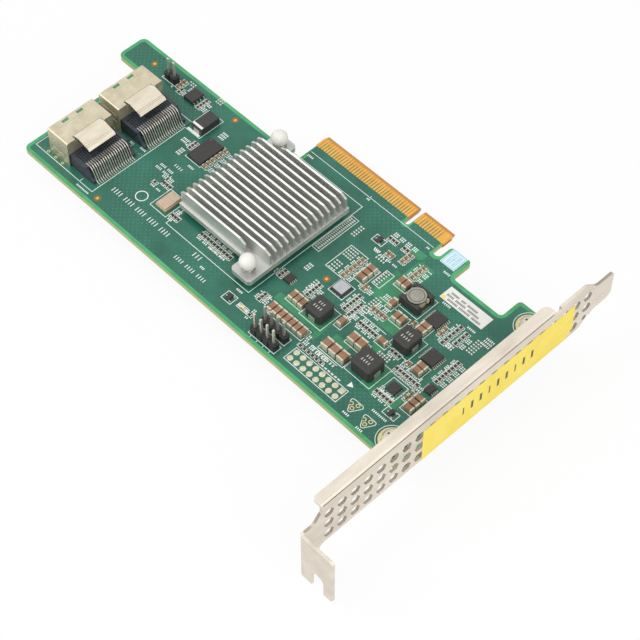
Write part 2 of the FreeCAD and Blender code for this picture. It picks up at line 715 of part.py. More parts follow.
# ---------------------------------------------------------------- cable sockets
def make_cage(socket_y):
    """A folded metal shell, open at the mouth, with a spring tongue at the back of its roof."""
    half = cage_width / 2
    shell = block(mouth_x, cage_rear_x, socket_y - half, socket_y + half, 0, cage_height)
    shell = rounded(shell, 0, [(socket_y - half, cage_height), (socket_y + half, cage_height)],
                    cage_radius)
    hollow = block(mouth_x - 1, cage_rear_x - cage_sheet, socket_y - half + cage_sheet,
                   socket_y + half - cage_sheet, -1, cage_height - cage_sheet)
    doorway = block(cage_rear_x - 1, cage_rear_x + 1, socket_y - half + cage_sheet,
                    socket_y + half - cage_sheet, -1, housing_height)
    root_x = cage_rear_x - spring_root
    cuts = [hollow, doorway]
    for side in (-1, 1):
        window_y = socket_y + side * cage_window_place
        cuts.append(centred(mouth_x + cage_window_inset + cage_window_length / 2, window_y,
                            cage_window_length, cage_window_width, cage_height - 1, cage_height + 1))
        slit_y = socket_y + side * (spring_width + spring_slit) / 2
        cuts.append(block(root_x, cage_rear_x + 1, slit_y - spring_slit / 2, slit_y + spring_slit / 2,
                          cage_height - 1, cage_height + 1))
        for slit_z in cage_slit_places:
            wall_y = socket_y + side * half
            cuts.append(centred((mouth_x + cage_rear_x) / 2, wall_y, cage_slit_length, 4 * cage_sheet,
                                slit_z - cage_slit_height / 2, slit_z + cage_slit_height / 2))
    # The tongue's own stretch of roof is cut away, because the tongue rises out of it.
    cuts.append(block(root_x, cage_rear_x - cage_sheet, socket_y - spring_width / 2,
                      socket_y + spring_width / 2, cage_height - cage_sheet, cage_height + 1))
    path = [(root_x - spring_tail, cage_height), (root_x, cage_height),
            (root_x + spring_rise_run, cage_height + spring_rise),
            (root_x + spring_rise_run + spring_reach, cage_height + spring_rise - spring_fall),
            (root_x + spring_rise_run + spring_reach + spring_lip_run,
             cage_height + spring_rise - spring_fall - spring_lip)]
    tongue = strip(path, cage_sheet, socket_y - spring_width / 2, socket_y + spring_width / 2)
    legs = []
    for x, y in cage_leg_places():
        if abs(y - socket_y) < cage_width / 2:
            legs.append(centred(x, y, cage_leg_width, cage_sheet, board_under_z - cage_leg_end,
                                cage_leg_root))
    wall = shell.cut(Part.makeCompound(cuts))
    return join([wall, tongue] + legs)


def terminal_places(socket_y):
    """Y of each terminal of a socket."""
    return [socket_y + (k - (terminal_count - 1) / 2) * terminal_pitch for k in range(terminal_count)]


def make_housing(socket_y):
    """The moulded body: a block behind the cage, and a nose inside it with the card slot."""
    half = cage_width / 2 - cage_sheet - housing_side_gap
    rear = block(cage_rear_x, housing_rear_x, socket_y - half, socket_y + half, 0, housing_height)
    floor = block(cage_rear_x - nose_length, cage_rear_x, socket_y - half, socket_y + half,
                  0, nose_base)
    nose = block(cage_rear_x - nose_length, cage_rear_x, socket_y - nose_width / 2,
                 socket_y + nose_width / 2, 0, housing_height + nose_height - nose_base)
    nose = nose.common(block(cage_rear_x - nose_length, cage_rear_x, socket_y - half,
                             socket_y + half, 0, cage_height - cage_sheet - nose_roof_gap))
    behind = block(cage_rear_x - cage_sheet - nose_wall_gap, cage_rear_x, socket_y - half,
                   socket_y + half, housing_height, cage_height)
    slot_z = housing_height - card_slot_drop
    slot = block(cage_rear_x - nose_length - 1, cage_rear_x - nose_length + card_slot_depth,
                 socket_y - card_slot_width / 2, socket_y + card_slot_width / 2,
                 slot_z - card_slot_height / 2, slot_z + card_slot_height / 2)
    cheeks = []
    for side in (-1, 1):
        outer = socket_y + side * half
        inner = outer - side * cheek_width
        profile = [(housing_rear_x - 1, outer, 0), (housing_rear_x + cheek_reach, outer, 0),
                   (housing_rear_x + cheek_reach, outer, cheek_foot_height),
                   (housing_rear_x + cheek_step, outer, cheek_step_height),
                   (housing_rear_x, outer, housing_height - cheek_top_drop),
                   (housing_rear_x - 1, outer, housing_height - cheek_top_drop)]
        cheeks.append(flat(profile, (0, inner - outer, 0)))
    body = join([rear, floor, nose.cut(behind)] + cheeks).cut(slot)
    # Behind the terminals the rear face leans forward, so that the tails stand clear of it.
    past = 0.01
    lean_y = socket_y - half + cheek_width
    lean = [(housing_rear_x + past, lean_y, -past),
            (housing_rear_x + past, lean_y, housing_height - lean_drop),
            (housing_rear_x - lean_run, lean_y, -past)]
    cuts = [flat(lean, (0, 2 * (half - cheek_width), 0))]
    for y in terminal_places(socket_y):
        cuts.append(block(housing_rear_x - terminal_seat, housing_rear_x + 1, y - terminal_width / 2,
                          y + terminal_width / 2, housing_height - terminal_sheet,
                          housing_height + 1))
        groove_x = housing_rear_x - groove_setback
        cuts.append(block(groove_x - groove_length, groove_x, y - terminal_width / 2,
                          y + terminal_width / 2, housing_height - groove_depth, housing_height + 1))
    return body.cut(Part.makeCompound(cuts))


def make_terminals(socket_y):
    """Sprung tails that leave the top of the housing and bend down to their pads."""
    tip_x = housing_rear_x + foot_reach
    path = [(housing_rear_x - terminal_seat, housing_height),
            (housing_rear_x + terminal_run, housing_height),
            (housing_rear_x + terminal_bend, terminal_bend_z),
            (tip_x - foot_length - terminal_heel, terminal_heel_z),
            (tip_x - foot_length, terminal_sheet), (tip_x, terminal_sheet)]
    return [strip(path, terminal_sheet, y - terminal_width / 2, y + terminal_width / 2)
            for y in terminal_places(socket_y)]


for number, place in enumerate(socket_places, 1):
    export(f"sas_cage_{number}", make_cage(place))
    export(f"sas_housing_{number}", make_housing(place))
    export(f"sas_terminals_{number}", *make_terminals(place))


# ---------------------------------------------------------------- heat sink, its pins and the chip
def make_heat_sink():
    x0, x1 = sink_x - sink_length / 2, sink_x + sink_length / 2
    y0, y1 = sink_y - sink_width / 2, sink_y + sink_width / 2
    plate = [(x0, y0), (x1 - sink_ear_length, y0), (x1 - sink_ear_length, y0 - sink_ear_reach),
             (x1, y0 - sink_ear_reach), (x1, y1), (x0 + sink_ear_length, y1),
             (x0 + sink_ear_length, y1 + sink_ear_reach), (x0, y1 + sink_ear_reach)]
    sink = flat([(x, y, plate_low_z) for x, y in plate], (0, 0, plate_thickness))
    sink = rounded(sink, 2, [(x1 - sink_ear_length, y0 - sink_ear_reach), (x1, y0 - sink_ear_reach),
                             (x0 + sink_ear_length, y1 + sink_ear_reach),
                             (x0, y1 + sink_ear_reach)], sink_corner)
    fins = []
    top_z = plate_top_z + fin_height
    for k in range(fin_count):
        # The outermost fin on each side stops short of the push pin beside it.
        start = x0 + fin_inset + (sink_ear_length if k == fin_count - 1 else 0)
        end = x1 - fin_inset - (sink_ear_length if k == 0 else 0)
        y = sink_y + (k - (fin_count - 1) / 2) * fin_pitch - fin_thickness / 2
        profile = [(start, y, plate_top_z - joint_lap), (start, y, top_z - fin_chamfer_drop),
                   (start + fin_chamfer_run, y, top_z), (end - fin_chamfer_run, y, top_z),
                   (end, y, top_z - fin_chamfer_drop), (end, y, plate_top_z - joint_lap)]
        fins.append(flat(profile, (0, fin_thickness, 0)))
    holes = [post(x, y, pin_stem_radius + pin_hole_gap, plate_low_z - 1, plate_top_z + 1)
             for x, y in pin_places]
    return join([sink] + fins).cut(Part.makeCompound(holes))


def make_push_pin(x, y):
    """A nylon pin: a domed head, a stem, and a split barb that snaps in under the board."""
    head_z = plate_top_z + pin_head_gap
    crown_z = head_z + pin_head_rim
    barb_z = board_under_z - pin_barb_gap
    tip_z = barb_z - pin_barb_length
    profile = [(0, tip_z), (pin_tip_radius, tip_z), (pin_barb_radius, barb_z - pin_barb_land),
               (pin_barb_radius, barb_z), (pin_stem_radius, barb_z), (pin_stem_radius, head_z),
               (pin_head_radius - pin_head_taper, head_z)]
    for k in range(pin_dome_bands):
        turn = math.pi / 2 * k / pin_dome_bands
        profile.append((pin_head_radius * math.cos(turn), crown_z + pin_head_radius * math.sin(turn)))
    profile.append((0, crown_z + pin_head_radius))
    outline = [V(x + reach, y, z) for reach, z in profile]
    half = Part.Face(Part.makePolygon(outline + outline[:1]))
    pin = half.revolve(V(x, y, 0), V(0, 0, 1), 360)
    split = centred(x, y, pin_split, 2 * pin_barb_radius + 1, tip_z - 1, board_under_z + pin_split_depth)
    return pin.cut(split)


def make_pin_spring(x, y):
    """The steel coil between the plate and the head of a push pin, swept along a stepped helix."""
    radius = pin_stem_radius + spring_stem_gap + spring_wire_radius
    steps = spring_turns * spring_steps
    rise = pin_head_gap - 2 * spring_wire_radius - spring_end_gap
    start_z = plate_top_z + spring_wire_radius
    line = []
    for k in range(steps + 1):
        angle = 2 * math.pi * k / spring_steps
        line.append(V(x + radius * math.cos(angle), y + radius * math.sin(angle), start_z + rise * k / steps))
    along = (line[1] - line[0]).normalize()
    outward = V(1, 0, 0)
    upward = along.cross(outward)
    ring = []
    for k in range(6):
        angle = math.pi * k / 3
        ring.append(line[0] + (outward * math.cos(angle) + upward * math.sin(angle)) * spring_wire_radius)
    sweep = Part.BRepOffsetAPI.MakePipeShell(Part.makePolygon(line))
    sweep.setFrenetMode(True)
    sweep.setTransitionMode(1)
    sweep.add(Part.makePolygon(ring + ring[:1]), False, False)
    sweep.build()
    sweep.makeSolid()
    return sweep.shape()


export("heat_sink", make_heat_sink())
export("thermal_pad", centred(sink_x, sink_y, pad_side, pad_side, chip_height, plate_low_z))
substrate = centred(sink_x, sink_y, substrate_side, substrate_side, 0, substrate_height)
mould = centred(sink_x, sink_y, chip_side, chip_side, substrate_height - joint_lap, chip_height)
export("controller_chip", join([substrate, mould]))
for number, (x, y) in enumerate(pin_places, 1):
    export(f"push_pin_{number}", make_push_pin(x, y))
    export(f"push_pin_spring_{number}", make_pin_spring(x, y))


# ---------------------------------------------------------------- pin headers and filled holes
def make_header_body(x, y, count):
    """A strip of moulded cells with cut corners, one for each pin."""
    cells = []
    holes = []
    for middle, y in header_pin_places(x, y, count):
        cell = centred(middle, y, header_pitch, header_width, 0, header_height)
        upright = edges_along(cell, 2, [(middle + sx * header_pitch / 2, y + sy * header_width / 2)
                                        for sx in (-1, 1) for sy in (-1, 1)])
        cells.append(cell.makeChamfer(header_corner, upright))
        holes.append(centred(middle, y, header_pin, header_pin, -1, header_height + 1))
    return join(cells).cut(Part.makeCompound(holes))


def make_header_pin(x, y):
    """A square pin with a bevelled tip at both ends."""
    pin = centred(x, y, header_pin, header_pin, board_under_z - header_pin_tail, header_pin_top)
    ends = [edge for edge in pin.Edges if edge.BoundBox.ZMax - edge.BoundBox.ZMin < 1e-6]
    return pin.makeChamfer(header_pin_bevel, ends)


for name, header in headers.items():
    export(name, make_header_body(*header))
    export(f"{name}_pins", *[make_header_pin(x, y) for x, y in header_pin_places(*header)])

filled = []
for row in range(2):
    for column in range(blind_columns):
        x = blind_first_x + column * header_pitch
        y = blind_front_y + row * header_pitch
        if row == 1 and column == blind_columns - 1:
            filled.append(centred(x, y, 2 * blind_pad_radius, 2 * blind_pad_radius, 0, blind_pad_height))
        else:
            filled.append(drill(x, y, blind_pad_radius, 0, blind_pad_height))
export("filled_header_holes", *filled)


# ---------------------------------------------------------------- chips
def place_leads(x, y, length, width, height, count, pitch, reach):
    """Body and leads of a package with leads on two sides."""
    return chip_body(x, y, length, width, height), gull_leads(x, y, length, height, count, pitch, reach)


def flat_leads(x, y, length, width, count, pitch):
    """Plated lands that show at the foot of a leadless package, on all four sides."""
    lands = []
    for k in range(count):
        shift = (k - (count - 1) / 2) * pitch
        for side in (-1, 1):
            lands.append(centred(x + side * (length / 2 + land_overhang), y + shift, land_length,
                                 pitch * land_share, 0, chip_standoff))
            lands.append(centred(x + shift, y + side * (width / 2 + land_overhang),
                                 pitch * land_share, land_length, 0, chip_standoff))
    return lands


chip_leads = []
x, y, length, width, height = memory_chip
export("memory_chip", chip_body(x, y, length, width, height),
       centred(x, y, length - 2 * memory_foot_inset, width - 2 * memory_foot_inset, 0, chip_standoff))

x, y, length, width, height = oscillator_can
base = centred(x, y, length, width, 0, can_base_height)
lid = centred(x, y, length - 2 * can_lid_inset, width - 2 * can_lid_inset,
              can_base_height - joint_lap, height)
export("oscillator", join([base, lid]))

x, y, length, width, height = small_outline
body, leads = place_leads(x, y, length, width, height, small_outline_lead_count,
                          small_outline_pitch, small_outline_reach)
export("configuration_chip", body)
chip_leads += leads

drivers = []
for x, y in driver_places:
    body, leads = place_leads(x, y, *driver_size, driver_lead_count, driver_pitch, driver_reach)
    drivers.append(body)
    chip_leads += leads
export("driver_chips", *drivers)

switches = []
for x, y in switch_places:
    body, leads = place_leads(x, y, *switch_size, switch_lead_count, driver_pitch, switch_reach)
    switches.append(body)
    chip_leads += leads
export("switch_chips", *switches)

x, y, length, width, height = flat_chip
export("regulator_chip", chip_body(x, y, length, width, height))
chip_leads += flat_leads(x, y, length, width, flat_chip_lead_count, flat_chip_pitch)

x, y, length, width, height = lidded_chip
export("lidded_chip", chip_body(x, y, length, width, height))
export("lidded_chip_cover", centred(x, y, lid_side, lid_side, height, height + lid_height))
chip_leads += flat_leads(x, y, length, width, lidded_chip_lead_count, lidded_chip_pitch)

tiny = []
for x, y in tiny_transistors:
    tiny.append(chip_body(x, y, *tiny_size))
    for side, shift in ((-1, 0.0), (1, -tiny_lead_spread), (1, tiny_lead_spread)):
        knee_x = tiny_size[0] / 2
        path = [(knee_x, tiny_knee_z), (knee_x + tiny_shoulder, tiny_knee_z),
                (knee_x + tiny_drop, lead_sheet), (knee_x + tiny_reach, lead_sheet)]
        lead = strip(path, lead_sheet, y + shift - tiny_lead_width / 2, y + shift + tiny_lead_width / 2)
        if side < 0:
            lead = lead.mirror(V(0, 0, 0), V(1, 0, 0))
        chip_leads.append(lead.translated(V(x, 0, 0)))
export("transistors", *tiny)
export("chip_leads", *chip_leads)


# ---------------------------------------------------------------- coils
def make_power_coil(x, y, length, width, height, axis):
    """A pressed powder block; its two terminals wrap from the side to the underside."""
    body = centred(x, y, length, width, coil_terminal_sheet, height)
    corners = [(x + sx * length / 2, y + sy * width / 2) for sx in (-1, 1) for sy in (-1, 1)]
    body = body.makeChamfer(coil_corner, edges_along(body, 2, corners))
    upper = [edge for edge in body.Edges if abs(edge.BoundBox.ZMin - height) < 1e-6]
    body = body.makeChamfer(coil_bevel, upper)
    terminals = []
    for side in (-1, 1):
        if axis == "x":
            face = x + side * length / 2
            outer = face + side * coil_terminal_sheet
            sides = sorted((face, outer))
            lands = sorted((face - side * coil_land, outer))
            wall = block(*sides, y - coil_terminal / 2, y + coil_terminal / 2, 0,
                         height * coil_wall_share)
            land = block(*lands, y - coil_terminal / 2, y + coil_terminal / 2, 0, coil_terminal_sheet)
        else:
            face = y + side * width / 2
            outer = face + side * coil_terminal_sheet
            sides = sorted((face, outer))
            lands = sorted((face - side * coil_land, outer))
            wall = block(x - coil_terminal / 2, x + coil_terminal / 2, *sides, 0,
                         height * coil_wall_share)
            land = block(x - coil_terminal / 2, x + coil_terminal / 2, *lands, 0, coil_terminal_sheet)
        terminals.append(join([wall, land]))
    return body, terminals


coil_bodies, coil_terminals = [], []
for coil in power_coils:
    body, ends = make_power_coil(*coil)
    coil_bodies.append(body)
    coil_terminals += ends
export("power_inductors", *coil_bodies)

# The open coil: a ferrite bobbin on a square base, between two side walls.
drum_half = drum_size / 2
base = centred(drum_x, drum_y, drum_size, drum_size, coil_terminal_sheet, drum_base)
core = post(drum_x, drum_y, drum_core_radius, drum_base - joint_lap, drum_height)
cap = post(drum_x, drum_y, drum_cap_radius, drum_height - drum_cap, drum_height)
walls = []
for side in (-1, 1):
    reach = sorted((drum_y + side * drum_half, drum_y + side * (drum_half - drum_pillar)))
    wall = block(drum_x - drum_half, drum_x + drum_half, *reach, drum_base - joint_lap,
                 drum_height - joint_lap)
    walls.append(wall.cut(post(drum_x, drum_y, drum_cap_radius + drum_cap_gap, 0, drum_height + 1)))
export("drum_inductor", join([base, core, cap] + walls))
winding = post(drum_x, drum_y, drum_winding_radius, drum_base, drum_height - drum_cap)
export("drum_winding", winding.cut(post(drum_x, drum_y, drum_core_radius, 0, drum_height)))
for side in (-1, 1):
    coil_terminals.append(centred(drum_x + side * (drum_half - drum_land_inset), drum_y,
                                  drum_land_length, drum_land_width, 0, coil_terminal_sheet))
export("inductor_terminals", *coil_terminals)


# ---------------------------------------------------------------- capacitors, resistors, lamp
x, y, length, width, height = moulded_capacitor
export("moulded_capacitor", chip_body(x, y, length, width, height))
straps = []
for side in (-1, 1):
    face = y + side * width / 2
    outer = face + side * moulded_lead_sheet
    low, high = x - moulded_lead_width / 2, x + moulded_lead_width / 2
    wall = block(low, high, *sorted((face, outer)), 0, moulded_lead_height)
    foot = block(low, high, *sorted((face - side * moulded_foot, outer)), 0, chip_standoff)
    straps.append(join([wall, foot]))
export("moulded_capacitor_leads", *straps)

x, y = led_place
led_base = centred(x, y, led_size[0], led_size[1], 0, led_base_height)
led_dome = centred(x, y, led_dome_length, led_size[1], led_base_height - joint_lap, led_size[2])
export("status_led", join([led_base, led_dome]))

ceramic, plated = [], []
for size, rows in ((tall_capacitor, tall_capacitor_rows), (wide_capacitor, wide_capacitor_rows)):
    for x, y, length, width, axis in rows_of(rows, size):
        height = size[2]
        if axis == "x":
            ceramic.append(centred(x, y, length - 2 * capacitor_end, width, 0, height))
            for side in (-1, 1):
                plated.append(centred(x + side * (length - capacitor_end) / 2, y, capacitor_end,
                                      width + 2 * capacitor_end_proud, 0,
                                      height + capacitor_end_proud))
        else:
            ceramic.append(centred(x, y, length, width - 2 * capacitor_end, 0, height))
            for side in (-1, 1):
                plated.append(centred(x, y + side * (width - capacitor_end) / 2,
                                      length + 2 * capacitor_end_proud, capacitor_end, 0,
                                      height + capacitor_end_proud))
export("ceramic_capacitors", *ceramic)
export("ceramic_capacitor_ends", *plated)
export("small_capacitors", *[centred(x, y, length, width, 0, small_capacitor[2])
                             for x, y, length, width, axis in rows_of(small_capacitor_rows, small_capacitor)])
export("chip_resistors", *[centred(x, y, length, width, 0, chip_resistor[2])
                           for x, y, length, width, axis in rows_of(chip_resistor_rows, chip_resistor)])


# ---------------------------------------------------------------- labels on the board
export("product_label", centred(*product_label, 0, label_thickness))
export("inspection_sticker", centred(*inspection_sticker, 0, label_thickness))
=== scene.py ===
import math
import bpy
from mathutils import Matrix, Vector


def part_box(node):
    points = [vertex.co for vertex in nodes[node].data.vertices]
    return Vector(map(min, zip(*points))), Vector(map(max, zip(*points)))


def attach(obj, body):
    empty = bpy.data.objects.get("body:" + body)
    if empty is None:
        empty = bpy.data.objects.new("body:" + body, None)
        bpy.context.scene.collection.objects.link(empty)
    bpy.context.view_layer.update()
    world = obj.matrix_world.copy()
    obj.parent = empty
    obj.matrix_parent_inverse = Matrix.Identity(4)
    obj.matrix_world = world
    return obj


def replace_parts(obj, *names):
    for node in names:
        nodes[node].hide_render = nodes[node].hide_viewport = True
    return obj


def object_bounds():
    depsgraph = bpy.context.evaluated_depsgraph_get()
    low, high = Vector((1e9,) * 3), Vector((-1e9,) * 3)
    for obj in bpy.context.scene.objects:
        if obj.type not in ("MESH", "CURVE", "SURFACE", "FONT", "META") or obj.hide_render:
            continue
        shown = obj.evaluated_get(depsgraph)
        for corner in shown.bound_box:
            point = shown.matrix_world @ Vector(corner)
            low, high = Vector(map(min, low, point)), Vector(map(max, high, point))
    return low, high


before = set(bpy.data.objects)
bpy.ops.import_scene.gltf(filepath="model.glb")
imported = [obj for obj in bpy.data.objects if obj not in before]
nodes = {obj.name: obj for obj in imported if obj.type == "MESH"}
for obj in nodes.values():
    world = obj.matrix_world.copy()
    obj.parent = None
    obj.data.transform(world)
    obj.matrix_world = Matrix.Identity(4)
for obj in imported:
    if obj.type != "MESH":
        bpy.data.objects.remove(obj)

cad_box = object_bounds()

# ------------------------------------------------------------ circuit board
# The board is a sheet of glass cloth and resin with copper inside, dipped in green solder mask.
# The routed rim is bare of copper and lets light through, so it glows a brighter green; its cut
# sides and the strip under the gold fingers show the amber resin.
mm = 0.001
board_low, board_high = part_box("circuit_board")


def colour(hexes):
    """An sRGB hex colour as linear red, green, blue and alpha."""
    parts = [int(hexes[k:k + 2], 16) / 255 for k in (1, 3, 5)]
    return tuple(c / 12.92 if c < 0.04045 else ((c + 0.055) / 1.055) ** 2.4 for c in parts) + (1,)


def add(material, kind, inputs=None, stops=None, **settings):
    """Adds a shader node with its settings, socket values, links and ramp stops."""
    made = material.node_tree.nodes.new(kind)
    for name, value in settings.items():
        setattr(made, name, value)
    for name, value in (inputs or {}).items():
        if isinstance(value, bpy.types.NodeSocket):
            material.node_tree.links.new(value, made.inputs[name])
        else:
            made.inputs[name].default_value = value
    for k, (place, tint) in enumerate(stops or []):
        while len(made.color_ramp.elements) <= k:
            made.color_ramp.elements.new(place)
        made.color_ramp.elements[k].position = place
        made.color_ramp.elements[k].color = tint
    return made


def finish(name, colours, grain, rough, bump=0.0, fine=0.08, metallic=0.0, rim=None, round_mm=0.06,
           stretch=(1, 1, 1), **shader):
    """A finish mottled at a grain in mm, with a span of roughness, fine bump and rounded rims,
    whose paler rim colour is partly wear and partly painted highlight.
    """
    material = bpy.data.materials.new(name)
    material.use_nodes = True
    tree = material.node_tree
    tree.nodes.clear()
    place = add(material, "ShaderNodeTexCoord").outputs["Object"]
    place = add(material, "ShaderNodeMapping", {"Vector": place, "Scale": stretch}).outputs[0]
    mottle = add(material, "ShaderNodeTexNoise",
                 {"Vector": place, "Scale": 1 / (grain * mm), "Detail": 4.0, "Roughness": 0.6})
    steps = len(colours) - 1
    tint = add(material, "ShaderNodeValToRGB", {"Fac": mottle.outputs["Fac"]},
               [(0.3 + 0.4 * k / steps, colour(c)) for k, c in enumerate(colours)]).outputs[0]
    dull = add(material, "ShaderNodeMapRange",
               {"Value": mottle.outputs["Fac"], "From Min": 0.3, "From Max": 0.7,
                "To Min": rough[0], "To Max": rough[1]}).outputs[0]
    soft = add(material, "ShaderNodeBevel", {"Radius": round_mm * mm}, samples=4).outputs[0]
    grit = add(material, "ShaderNodeTexNoise",
               {"Vector": place, "Scale": 1 / (fine * mm), "Detail": 2.0})
    lay = add(material, "ShaderNodeBump",
              {"Height": grit.outputs["Fac"], "Normal": soft, "Strength": bump,
               "Distance": 0.02 * mm}).outputs[0]
    # Rounded edges take a paler rim colour: partly wear, and partly a painted highlight where edges
    # catch the light.
    if rim:
        flat = add(material, "ShaderNodeNewGeometry").outputs["Normal"]
        turn = add(material, "ShaderNodeVectorMath", {0: soft, 1: flat}, operation="DOT_PRODUCT")
        edge_wear_and_highlight = add(material, "ShaderNodeMapRange",
                   {"Value": turn.outputs["Value"], "From Min": 0.995, "From Max": 0.9}).outputs[0]
        tint = add(material, "ShaderNodeMix", {"Factor": edge_wear_and_highlight, 6: tint, 7: colour(rim)},
                   data_type="RGBA").outputs[2]
    body = add(material, "ShaderNodeBsdfPrincipled",
               {"Base Color": tint, "Roughness": dull, "Normal": lay, "Metallic": metallic,
                **shader})
    add(material, "ShaderNodeOutputMaterial", {"Surface": body.outputs[0]})
    return material


def dress(material, *names):
    """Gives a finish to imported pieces, which keep their shape and place."""
    for name in names:
        for slot in nodes[name].material_slots:
            slot.material = material


def tint_over(material, factor, tint):
    """Lays a tint, a plain colour or a pattern, over a finish by a factor."""
    shader = next(n for n in material.node_tree.nodes if n.type == "BSDF_PRINCIPLED")
    before = shader.inputs["Base Color"].links[0].from_socket
    both = add(material, "ShaderNodeMix", {"Factor": factor, 6: before, 7: tint},
               data_type="RGBA").outputs[2]
    material.node_tree.links.new(both, shader.inputs["Base Color"])


def facing(material, axis, low, high, most=1.0):
    """How squarely a face looks along an axis, either way: nothing at low, most at high."""
    normal = add(material, "ShaderNodeNewGeometry").outputs["Normal"]
    normal = add(material, "ShaderNodeSeparateXYZ", {0: normal}).outputs[axis]
    normal = add(material, "ShaderNodeMath", {0: normal}, operation="ABSOLUTE").outputs[0]
    return add(material, "ShaderNodeMapRange", {"Value": normal, "From Min": low, "From Max": high,
                                                "To Max": most}).outputs[0]


def mark(material, hexes, share=1.0, **spans):
    """Tints the part of a finish that lies within spans, in mm, along the axes."""
    where = add(material, "ShaderNodeSeparateXYZ",
                {0: add(material, "ShaderNodeTexCoord").outputs["Object"]})
    factor = share
    for axis, (low, high) in spans.items():
        inside = add(material, "ShaderNodeMath", {0: where.outputs[axis], 1: (low + high) / 2 * mm,
                                                  2: (high - low) / 2 * mm}, operation="COMPARE")
        factor = add(material, "ShaderNodeMath", {0: inside.outputs[0], 1: factor},
                     operation="MULTIPLY").outputs[0]
    tint_over(material, factor, colour(hexes))


laminate = finish("solder_mask_on_laminate", ["#3F9A63", "#4BA86F", "#57B27A"], 6.0, (0.28, 0.4),
                  bump=0.15, fine=0.3, round_mm=0.12)
# The cut sides are a dull amber green, uneven through the sheet. A wave of a scale of 1 repeats
# every pi / 10 metres.
resin_wave = 12.337 * mm
shade = add(laminate, "ShaderNodeTexWave",
            {"Vector": add(laminate, "ShaderNodeTexCoord").outputs["Object"],
             "Scale": math.pi / 10 / resin_wave, "Distortion": 0.6},
            bands_direction="Z").outputs["Fac"]
amber = add(laminate, "ShaderNodeValToRGB", {"Fac": shade},
            [(0.2, colour("#A9B566")), (0.8, colour("#D9D692"))]).outputs[0]
tint_over(laminate, facing(laminate, "Z", 0.6, 0.3), amber)
# Under the gold fingers the resin is bare.
mark(laminate, "#C98A35", X=(-60.0, 13.2), Y=(-5.35, 1.0))
dress(laminate, "circuit_board")

# ------------------------------------------------------------ copper under the mask
# A sheet of copper lies under the mask on both faces and stops short of the rim, which makes the
# inner area a deeper, bluer green. Plated through holes show as slanting rows of faint paler dots.
rim_width = 1.2 * mm
film = 0.012 * mm
weld = 0.001 * mm


def select_faces(test):
    """Selects just the faces of the mesh in edit mode that pass a test."""
    bpy.ops.mesh.select_all(action="DESELECT")
    bpy.ops.object.mode_set(mode="OBJECT")
    for face in bpy.context.object.data.polygons:
        face.select = test(face)
    bpy.ops.object.mode_set(mode="EDIT")


def begin(name, mesh=None):
    """Starts a new piece in edit mode, with nothing else selected."""
    if bpy.context.object and bpy.context.object.mode != "OBJECT":
        bpy.ops.object.mode_set(mode="OBJECT")
    bpy.ops.object.select_all(action="DESELECT")
    made = bpy.data.objects.new(name, mesh or bpy.data.meshes.new(name))
    made.data.name = name
    bpy.context.scene.collection.objects.link(made)
    bpy.context.view_layer.objects.active = made
    made.select_set(True)
    bpy.ops.object.mode_set(mode="EDIT")
    bpy.ops.mesh.select_mode(type="FACE")
    return made


def settle(made, material, smooth=None):
    """Ends a piece: its finish, smooth shading if asked, and the body that it rides on."""
    bpy.ops.object.mode_set(mode="OBJECT")
    made.data.materials.clear()
    made.data.materials.append(material)
    if smooth:
        bpy.ops.object.shade_smooth_by_angle(angle=math.radians(smooth))
    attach(made, "root")
    return made


def copper_sheet(name, side):
    """The face of the board on one side, drawn in from the rim and given the film's thickness."""
    made = begin(name, nodes["circuit_board"].data.copy())
    bpy.ops.mesh.select_all(action="SELECT")
    bpy.ops.mesh.remove_doubles(threshold=weld)
    bpy.ops.mesh.customdata_custom_splitnormals_clear()
    level = board_high.z if side > 0 else board_low.z
    select_faces(lambda f: f.normal.z * side < 0.9 or abs(f.center.z - level) > weld)
    bpy.ops.mesh.delete(type="FACE")
    bpy.ops.mesh.select_mode(type="EDGE")
    bpy.ops.mesh.select_all(action="SELECT")
    bpy.ops.mesh.fill_holes(sides=60)
    bpy.ops.mesh.select_mode(type="FACE")
    bpy.ops.mesh.select_all(action="SELECT")
    bpy.ops.mesh.dissolve_faces()
    bpy.ops.mesh.dissolve_limited(angle_limit=math.radians(4))
    bpy.ops.mesh.inset(thickness=rim_width, use_boundary=True, use_even_offset=True)
    bpy.ops.mesh.select_all(action="INVERT")
    bpy.ops.mesh.delete(type="FACE")
    bpy.ops.mesh.select_all(action="SELECT")
    bpy.ops.mesh.extrude_region_move(TRANSFORM_OT_translate={"value": (0, 0, film * side)})
    return made


mask = finish("solder_mask_on_copper", ["#215F4E", "#276A57", "#317663"], 14.0, (0.24, 0.38),
              bump=0.1, fine=0.5, round_mm=0.01)
# The rows of holes lie in zones, and the mask over them hides more than half of their tint.
hole_pitch, zone_size, hole_share = 1.3 * mm, 22 * mm, 0.45
on_board = add(mask, "ShaderNodeTexCoord").outputs["Object"]
turned = add(mask, "ShaderNodeMapping",
             {"Vector": on_board, "Rotation": (0, 0, math.radians(45)),
              "Scale": (1 / hole_pitch, 1 / hole_pitch, 0.001)}).outputs[0]
holes = add(mask, "ShaderNodeTexVoronoi", {"Vector": turned, "Scale": 1.0, "Randomness": 0.12})
dot = add(mask, "ShaderNodeMapRange", {"Value": holes.outputs["Distance"], "From Min": 0.2,
                                       "From Max": 0.13}).outputs[0]
zone = add(mask, "ShaderNodeTexNoise", {"Vector": on_board, "Scale": 1 / zone_size}).outputs["Fac"]
zone = add(mask, "ShaderNodeMapRange",
           {"Value": zone, "From Min": 0.44, "From Max": 0.56}).outputs[0]
shown = add(mask, "ShaderNodeMath", {0: dot, 1: zone}, operation="MULTIPLY").outputs[0]
shown = add(mask, "ShaderNodeMath", {0: shown, 1: hole_share}, operation="MULTIPLY").outputs[0]
tint_over(mask, shown, colour("#5FA588"))

settle(copper_sheet("copper_sheet_top", 1), mask)
settle(copper_sheet("copper_sheet_under", -1), mask)


